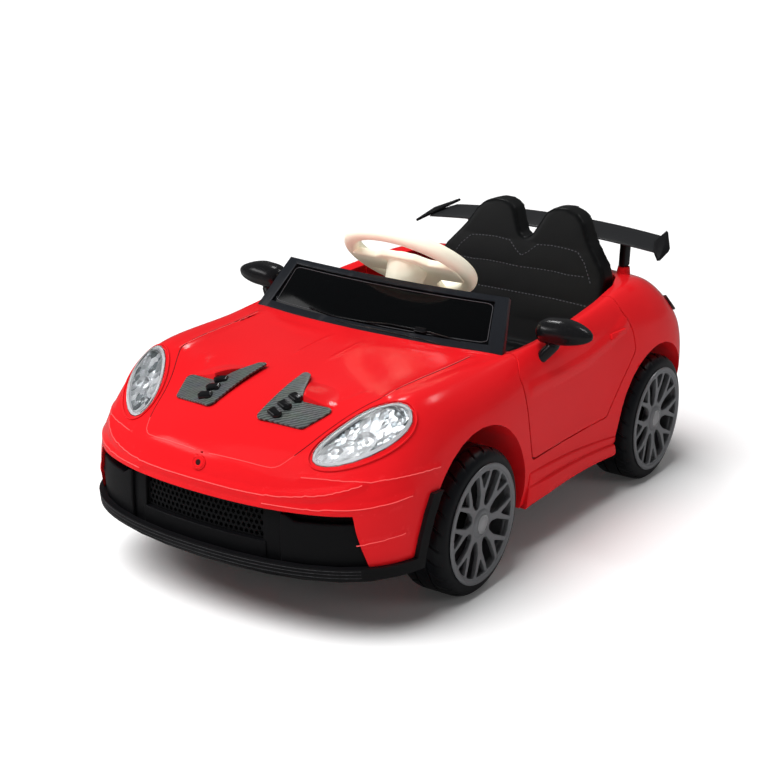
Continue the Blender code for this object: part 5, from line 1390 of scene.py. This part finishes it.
def build_rear_wing():
    """An arched blade with rounded edges, canted end plates and two posts."""
    columns, around = 56, 26
    points = []
    for i in range(columns + 1):
        u = 2 * i / columns - 1
        for k in range(around):
            angle = 2 * math.pi * k / around
            t = 0.5 - 0.5 * math.cos(angle)
            half, station, z = (a + t * (b - a) for a, b in zip(WING_LEADING, WING_TRAILING))
            body = 0.008 * (0.3 + 0.9 * t * (1 - t)) * bulged(math.sin(angle), 0.5)
            points.append((half * u, at(station), z + 0.012 * (1 - u * u) + body))
    blade = from_points("blade", points, band_faces(columns + 1, around, capped=True))
    finished(blade, "wing_blade", "body", "wing", "satin_black", "rear_wing", smooth=40)
    corners = [Vector((x, at(station), z)) for x, station, z in WINGLET]
    normal = (corners[2] - corners[0]).cross(corners[6] - corners[0]).normalized()
    count = len(corners)
    middle = sum(corners, Vector()) / count
    outward = normal if normal.x > 0 else -normal
    points = [corner + normal * reach for reach in (-0.0025, 0.0025) for corner in corners]
    points += [middle + outward * 0.0060 + normal * reach for reach in (-0.0025, 0.0025)]
    faces = [(i, (i + 1) % count, count + (i + 1) % count, count + i) for i in range(count)]
    faces += [((i + 1) % count, i, 2 * count) for i in range(count)]
    faces += [(count + i, count + (i + 1) % count, 2 * count + 1) for i in range(count)]
    plate_end = bevelled(from_points("end", points, faces), 0.0014, 3, 30)
    for side, end in SIDES:
        shown = plate_end if side > 0 else other_side(plate_end)
        finished(shown, f"wing_end_{end}", "body", "black", "satin_black", smooth=40)
        post = bevelled(merged_copy(f"wing_post_{end}"), 0.0014, 3, 30)
        finished(post, f"wing_stay_{end}", "body", "black", "satin_black", f"wing_post_{end}", smooth=40)


def build_steering_wheel():
    """The cream wheel: a thick ring, a flat T of three broad bars, a hub and its button."""
    place = Matrix.Translation(STEER_CENTRE) @ facing((0, math.cos(COLUMN_TILT), math.sin(COLUMN_TILT)))
    section = [
        (STEER_RADIUS - 0.0012 + STEER_TUBE * bulged(c, 0.9), STEER_TUBE * bulged(s, 0.9))
        for c, s in ellipse(1.0, 1.0, 28)
    ]
    ring = spun(section, 120, place)
    spokes = rounded([
        (-0.098, 0.030), (-0.052, 0.026), (-0.030, 0.040), (0.030, 0.040), (0.052, 0.026), (0.098, 0.030),
        (0.101, 0.0), (0.098, -0.026), (0.052, -0.030), (0.030, -0.056), (0.028, -0.097), (0.0, -0.100),
        (-0.028, -0.097), (-0.030, -0.056), (-0.052, -0.030), (-0.098, -0.026), (-0.101, 0.0),
    ], 0.010, 5)
    bars = plate([spokes], 0.013, 0.0030, place @ Matrix.Translation((0, 0, -0.0085)), rounds=3)
    hub = spun([
        (0.0, -0.022), (0.030, -0.022), (0.034, -0.017), (0.0345, -0.004), (0.0325, 0.0005), (0.029, 0.002),
        (0.0235, 0.002), (0.0225, 0.0005), (0.0223, -0.004), (0.0, -0.004),
    ], 64, place)
    shroud = spun([
        (0.0, -0.018), (0.034, -0.018), (0.033, -0.024), (0.026, -0.060), (0.022, -0.070), (0.0, -0.070)
    ], 48, place)
    wheel = joined(ring, bars, hub, shroud)
    finished(wheel, "cream_steering_wheel", "steering", "cream", "wheel_cream", "steering_wheel", smooth=38)
    button = spun([
        (0.0, 0.0008), (0.0212, 0.0008), (0.0215, 0.0030), (0.0206, 0.0044), (0.017, 0.0050), (0.0, 0.0055)
    ], 64, place)
    finished(button, "horn_pad", "horn_button", "cream", "wheel_cream", "horn_button", smooth=38)


def wheel_frame(station):
    """The left wheel's own frame: Z runs outwards along the axle from the wheel's outer face."""
    turn = Matrix(((0, 0, 1, 0), (1, 0, 0, 0), (0, 1, 0, 0), (0, 0, 0, 1)))
    return Matrix.Translation((WHEEL_OUTER_X, at(station), WHEEL_RADIUS)) @ turn


def wheel_windows():
    """The openings of the spoked face: narrow ones inside the forks and broad ones between the spokes."""
    windows = []
    pitch = 2 * math.pi / SPOKES
    arm, half, rim = pitch / 4, SPOKE_HALF_WIDTH, SPOKE_REACH
    for i in range(SPOKES):
        def spot(radius, angle):
            return (radius * math.cos(i * pitch + angle), radius * math.sin(i * pitch + angle))

        inside = [
            spot(0.0555, 0.0), spot(rim, half / rim - arm), spot(rim + 0.001, 0.0),
            spot(rim, arm - half / rim),
        ]
        windows.append(rounded(inside, 0.0018, 3))
        near = arm + half / rim
        outside = [
            spot(0.0275, pitch / 2), spot(0.033, 0.0062 / 0.033), spot(0.047, 0.0064 / 0.047),
            spot(rim, near), spot(rim + 0.001, pitch / 2), spot(rim, pitch - near),
            spot(0.047, pitch - 0.0064 / 0.047), spot(0.033, pitch - 0.0062 / 0.033),
        ]
        windows.append(rounded(outside, 0.0040, 4))
    return windows


def spoked_face():
    """The wheel's face, dished towards its hub."""
    def dished(spot):
        radius = math.hypot(spot.x, spot.y)
        t = unit((radius - 0.022) / 0.060)
        return Vector((spot.x, spot.y, spot.z - 0.0050 - 0.0045 * (1 - t * t * (3 - 2 * t))))

    return bent(plate([ellipse(0.0890, 0.0890, 96), *wheel_windows()], 0.0075, 0.0011), dished, 0.0055)


def tyre_form():
    """A moulded tyre with a middle rib and slanted cuts across its shoulders."""
    middle, half_width, rib = 0.044, 0.041, 0.0125
    phases = [0.0, 0.13, 0.26, 0.39, 0.460, 0.472, 0.528, 0.540, 0.61, 0.74, 0.87]
    half = [
        (-0.0036, 0.0885), (-0.0031, 0.0915), (-0.0031, 0.0985), (-0.0038, 0.1025), (-0.0052, 0.1060),
        (-0.0070, 0.1088), (-0.0096, 0.1113), (-0.0130, 0.1134), (-0.0168, 0.1146), (-0.0210, 0.1150),
        (-0.0262, 0.1150), (-0.0300, 0.1150), (-0.0304, 0.1132), (-0.0325, 0.1132), (-0.0329, 0.1150),
        (-0.0385, 0.1150),
    ]
    profile = half + [(-0.088 - z, r) for z, r in reversed(half)]
    points = []
    for block in range(TREAD_BLOCKS):
        for phase in phases:
            for z, radius in profile:
                out = abs(z + middle)
                angle = 2 * math.pi * (block + phase + 0.9 * (out / half_width - 1)) / TREAD_BLOCKS
                cut = unit((0.0378 - out) / 0.006) if out > rib else 0.0
                if 0.45 < phase < 0.55:
                    radius -= sizes().tread_depth * cut
                points.append((radius * math.cos(angle), radius * math.sin(angle), z))
    return from_points("tyre", points, band_faces(TREAD_BLOCKS * len(phases), len(profile), looped=True))


def build_wheels():
    """Spoked wheels with a deep barrel, caps and tyres."""
    rim = spun([
        (0.0884, -0.058), (0.0866, -0.058), (0.0858, -0.018), (0.0838, -0.0135), (0.0838, -0.0105),
        (0.0852, -0.0085), (0.0850, -0.0035), (0.0858, -0.0010), (0.0880, 0.0006), (0.0915, 0.0009),
        (0.0938, 0.0000), (0.0945, -0.0018), (0.0930, -0.0030), (0.0884, -0.0032),
    ], 96)
    hub = spun([
        (0.0, -0.020), (0.0240, -0.020), (0.0236, -0.0058), (0.0218, -0.0042), (0.0190, -0.0030),
        (0.0160, -0.0026), (0.0156, -0.0060), (0.0, -0.0060),
    ], 48)
    wheel = joined(spoked_face(), rim, hub)
    back = spun([
        (0.006, -0.056), (0.0, -0.020), (0.019, -0.022), (0.021, -0.050), (0.050, -0.050), (0.054, -0.047),
        (0.070, -0.047), (0.074, -0.052), (0.0868, -0.052), (0.0868, -0.060), (0.006, -0.060),
    ], 72)
    cap = spun([
        (0.0, -0.0055), (0.0153, -0.0055), (0.0153, -0.0022), (0.0146, -0.0012), (0.0134, -0.0010),
        (0.0129, -0.0017), (0.0121, -0.0017), (0.0110, -0.0008), (0.0, -0.0003),
    ], 48)
    for form, name, finish, slot, node in (
        (wheel, "spoked_wheel", "wheel", "wheel_grey", "wheel"),
        # The barrel's near-black back wall is painted shade inside the wheel
        (back, "wheel_back", "shadow_black", "wheel_grey", None),
        (cap, "wheel_cap", "cap", "cap_silver", "centre_cap"),
        (tyre_form(), "moulded_tyre", "tyre", "tyre_black", "tyre"),
    ):
        for axle, station in (("front", 0.0), ("rear", WHEELBASE)):
            for side, end in SIDES:
                piece = added(name, form.data.copy())
                piece.data.transform(wheel_frame(station))
                (piece,) = on_side(side, piece)
                nodes = [f"{axle}_{node}_{end}"] if node else []
                body = f"{axle}_wheel_{end}"
                finished(piece, f"{name}_{axle}_{end}", body, finish, slot, *nodes, smooth=38)
        bpy.data.objects.remove(form, do_unlink=True)


def finish_carried_nodes():
    """Gives every CAD node that still shows its real finish."""
    by_slot = {
        "body_red": "red", "satin_black": "black", "tyre_black": "tyre", "steel": "steel",
        "wheel_grey": "wheel", "cap_silver": "cap", "wheel_cream": "cream", "pane_black": "pane",
        "reflector": "chrome", "lens": "clear", "lens_smoke": "smoke", "mirror_silver": "film",
    }
    slots = {row["node"]: row["material_slot"] for row in frame["record"]["subparts"]}
    for name, thing in frame["nodes"].items():
        finish = FINISHES["grey" if name == "battery" else by_slot[slots[name]]]
        thing.data.materials.clear()
        thing.data.materials.append(finish)


def build_stage():
    """Pale floor, soft studio light and the camera at the photograph's place."""
    scene = bpy.context.scene
    scene.view_settings.view_transform = "Standard"
    bpy.ops.object.select_all(action="DESELECT")
    bpy.ops.mesh.primitive_plane_add(size=sizes().floor_size, location=(0, 0, -0.0005))
    floor = bpy.context.view_layer.objects.active
    floor.name = "studio_floor"
    material, tree, shader = new_finish("pale_studio_floor", {"Roughness": 0.9, "Specular IOR Level": 0.1})
    ray = add_node(tree, "ShaderNodeLightPath")
    # Reflections see a darker floor, so that the car's sides keep their colour
    tone = between(tree, linear("#F8F8F8"), linear("#747474"), ray.outputs["Is Glossy Ray"])
    tree.links.new(tone, shader.inputs["Base Color"])
    # A faint glow for what the camera sees takes the last grey from the white
    seen = ray.outputs["Is Camera Ray"]
    for kind in ("Is Glossy Ray", "Is Transmission Ray"):
        either = {0: seen, 1: ray.outputs[kind]}
        seen = add_node(tree, "ShaderNodeMath", {"operation": "MAXIMUM"}, either).outputs[0]
    lift = add_node(tree, "ShaderNodeMath", {"operation": "MULTIPLY", 1: FLOOR_GLOW}, {0: seen})
    glow = add_node(tree, "ShaderNodeEmission", None, {"Strength": lift.outputs[0]})
    both = add_node(tree, "ShaderNodeAddShader", None, {0: shader.outputs[0], 1: glow.outputs[0]})
    tree.links.new(both.outputs[0], tree.nodes["Material Output"].inputs["Surface"])
    floor.data.materials.append(material)

    world = bpy.data.worlds.new("studio")
    world.use_nodes = True
    background = world.node_tree.nodes["Background"]
    background.inputs["Color"].default_value = (1.0, 1.0, 1.0, 1.0)
    background.inputs["Strength"].default_value = WORLD_LIGHT
    scene.world = world

    bpy.ops.object.light_add(type="SUN", rotation=SUN_TURN)
    sun = bpy.context.view_layer.objects.active
    sun.data.energy = SUN_POWER
    sun.data.angle = SUN_SPREAD
    sun.visible_glossy = False
    for spot, aim, width, height, power, shines in LAMPS:
        bpy.ops.object.light_add(type="AREA", location=spot)
        lamp = bpy.context.view_layer.objects.active
        lamp.data.shape = "RECTANGLE"
        lamp.data.size = width
        lamp.data.size_y = height
        lamp.data.energy = power
        lamp.visible_glossy = shines
        lamp.rotation_mode = "QUATERNION"
        lamp.rotation_quaternion = (Vector(aim) - Vector(spot)).to_track_quat("-Z", "Y")

    bpy.ops.object.camera_add()
    camera = bpy.context.view_layer.objects.active
    forward = Vector((
        -math.sin(CAMERA_YAW) * math.cos(CAMERA_PITCH), math.cos(CAMERA_YAW) * math.cos(CAMERA_PITCH),
        -math.sin(CAMERA_PITCH),
    ))
    level = Vector((math.cos(CAMERA_YAW), math.sin(CAMERA_YAW), 0.0))
    upright = level.cross(forward)
    right = level * math.cos(CAMERA_ROLL) + upright * math.sin(CAMERA_ROLL)
    up = upright * math.cos(CAMERA_ROLL) - level * math.sin(CAMERA_ROLL)
    turn = Matrix((right, up, -forward)).transposed().to_4x4()
    camera.matrix_world = Matrix.Translation(CAMERA_PLACE) @ turn
    camera.data.sensor_width = SENSOR
    camera.data.lens = PHOTO_FOCAL / PHOTO_SIZE * SENSOR
    scene.camera = camera


class RIDEON_OT_finishes(bpy.types.Operator):
    """Make the finishes and give them to the solids that still show"""

    bl_idname = "ride_on.finishes"
    bl_label = "Finishes"

    def execute(self, context):
        make_finishes()
        finish_carried_nodes()
        return {"FINISHED"}


class RIDEON_OT_body_panels(bpy.types.Operator):
    """Build the red body and the doors"""

    bl_idname = "ride_on.body_panels"
    bl_label = "Body panels"

    def execute(self, context):
        build_body_panels()
        build_body_details()
        return {"FINISHED"}


class RIDEON_OT_front_trim(bpy.types.Operator):
    """Build the grille, the splitter and the rear skirt"""

    bl_idname = "ride_on.front_trim"
    bl_label = "Front and rear trim"

    def execute(self, context):
        build_front_trim()
        return {"FINISHED"}


class RIDEON_OT_headlamps(bpy.types.Operator):
    """Build the headlamps"""

    bl_idname = "ride_on.headlamps"
    bl_label = "Headlamps"

    def execute(self, context):
        build_headlamps()
        return {"FINISHED"}


class RIDEON_OT_hood_vents(bpy.types.Operator):
    """Build the hood vents"""

    bl_idname = "ride_on.hood_vents"
    bl_label = "Hood vents"

    def execute(self, context):
        build_hood_vents()
        return {"FINISHED"}


class RIDEON_OT_windscreen(bpy.types.Operator):
    """Build the windscreen"""

    bl_idname = "ride_on.windscreen"
    bl_label = "Windscreen"

    def execute(self, context):
        build_windscreen()
        return {"FINISHED"}


class RIDEON_OT_mirrors(bpy.types.Operator):
    """Build the door mirrors"""

    bl_idname = "ride_on.mirrors"
    bl_label = "Mirrors"

    def execute(self, context):
        build_mirrors()
        return {"FINISHED"}


class RIDEON_OT_seat(bpy.types.Operator):
    """Build the seat"""

    bl_idname = "ride_on.seat"
    bl_label = "Seat"

    def execute(self, context):
        build_seat()
        return {"FINISHED"}


class RIDEON_OT_rear_wing(bpy.types.Operator):
    """Build the rear wing"""

    bl_idname = "ride_on.rear_wing"
    bl_label = "Rear wing"

    def execute(self, context):
        build_rear_wing()
        return {"FINISHED"}


class RIDEON_OT_steering_wheel(bpy.types.Operator):
    """Build the steering wheel"""

    bl_idname = "ride_on.steering_wheel"
    bl_label = "Steering wheel"

    def execute(self, context):
        build_steering_wheel()
        return {"FINISHED"}


class RIDEON_OT_wheels(bpy.types.Operator):
    """Build the wheels and tyres"""

    bl_idname = "ride_on.wheels"
    bl_label = "Wheels"

    def execute(self, context):
        build_wheels()
        return {"FINISHED"}


class RIDEON_OT_stage(bpy.types.Operator):
    """Build the floor, the lights and the camera"""

    bl_idname = "ride_on.stage"
    bl_label = "Stage"

    def execute(self, context):
        build_stage()
        return {"FINISHED"}


STEPS = (
    RIDEON_OT_finishes, RIDEON_OT_stage, RIDEON_OT_body_panels, RIDEON_OT_front_trim, RIDEON_OT_headlamps,
    RIDEON_OT_hood_vents, RIDEON_OT_windscreen, RIDEON_OT_mirrors, RIDEON_OT_seat, RIDEON_OT_rear_wing,
    RIDEON_OT_steering_wheel, RIDEON_OT_wheels,
)


class RIDEON_PT_panel(bpy.types.Panel):
    """The ride-on car's pieces"""

    bl_idname = "RIDEON_PT_panel"
    bl_label = "Ride-on car"
    bl_space_type = "VIEW_3D"
    bl_region_type = "UI"
    bl_category = "Ride-on"

    def draw(self, context):
        for step in STEPS:
            self.layout.operator(step.bl_idname)


CLASSES = (RideOnSizes, RideOnColours, *STEPS, RIDEON_PT_panel)


def register():
    for one in CLASSES:
        bpy.utils.register_class(one)
    bpy.types.Scene.ride_on_sizes = bpy.props.PointerProperty(type=RideOnSizes)
    bpy.types.Scene.ride_on_colours = bpy.props.PointerProperty(type=RideOnColours)


def unregister():
    del bpy.types.Scene.ride_on_colours
    del bpy.types.Scene.ride_on_sizes
    for one in reversed(CLASSES):
        bpy.utils.unregister_class(one)


def main():
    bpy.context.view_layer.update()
    register()
    for step in STEPS:
        group, name = step.bl_idname.split(".")
        getattr(getattr(bpy.ops, group), name)()


if __name__ == "__main__":
    main()
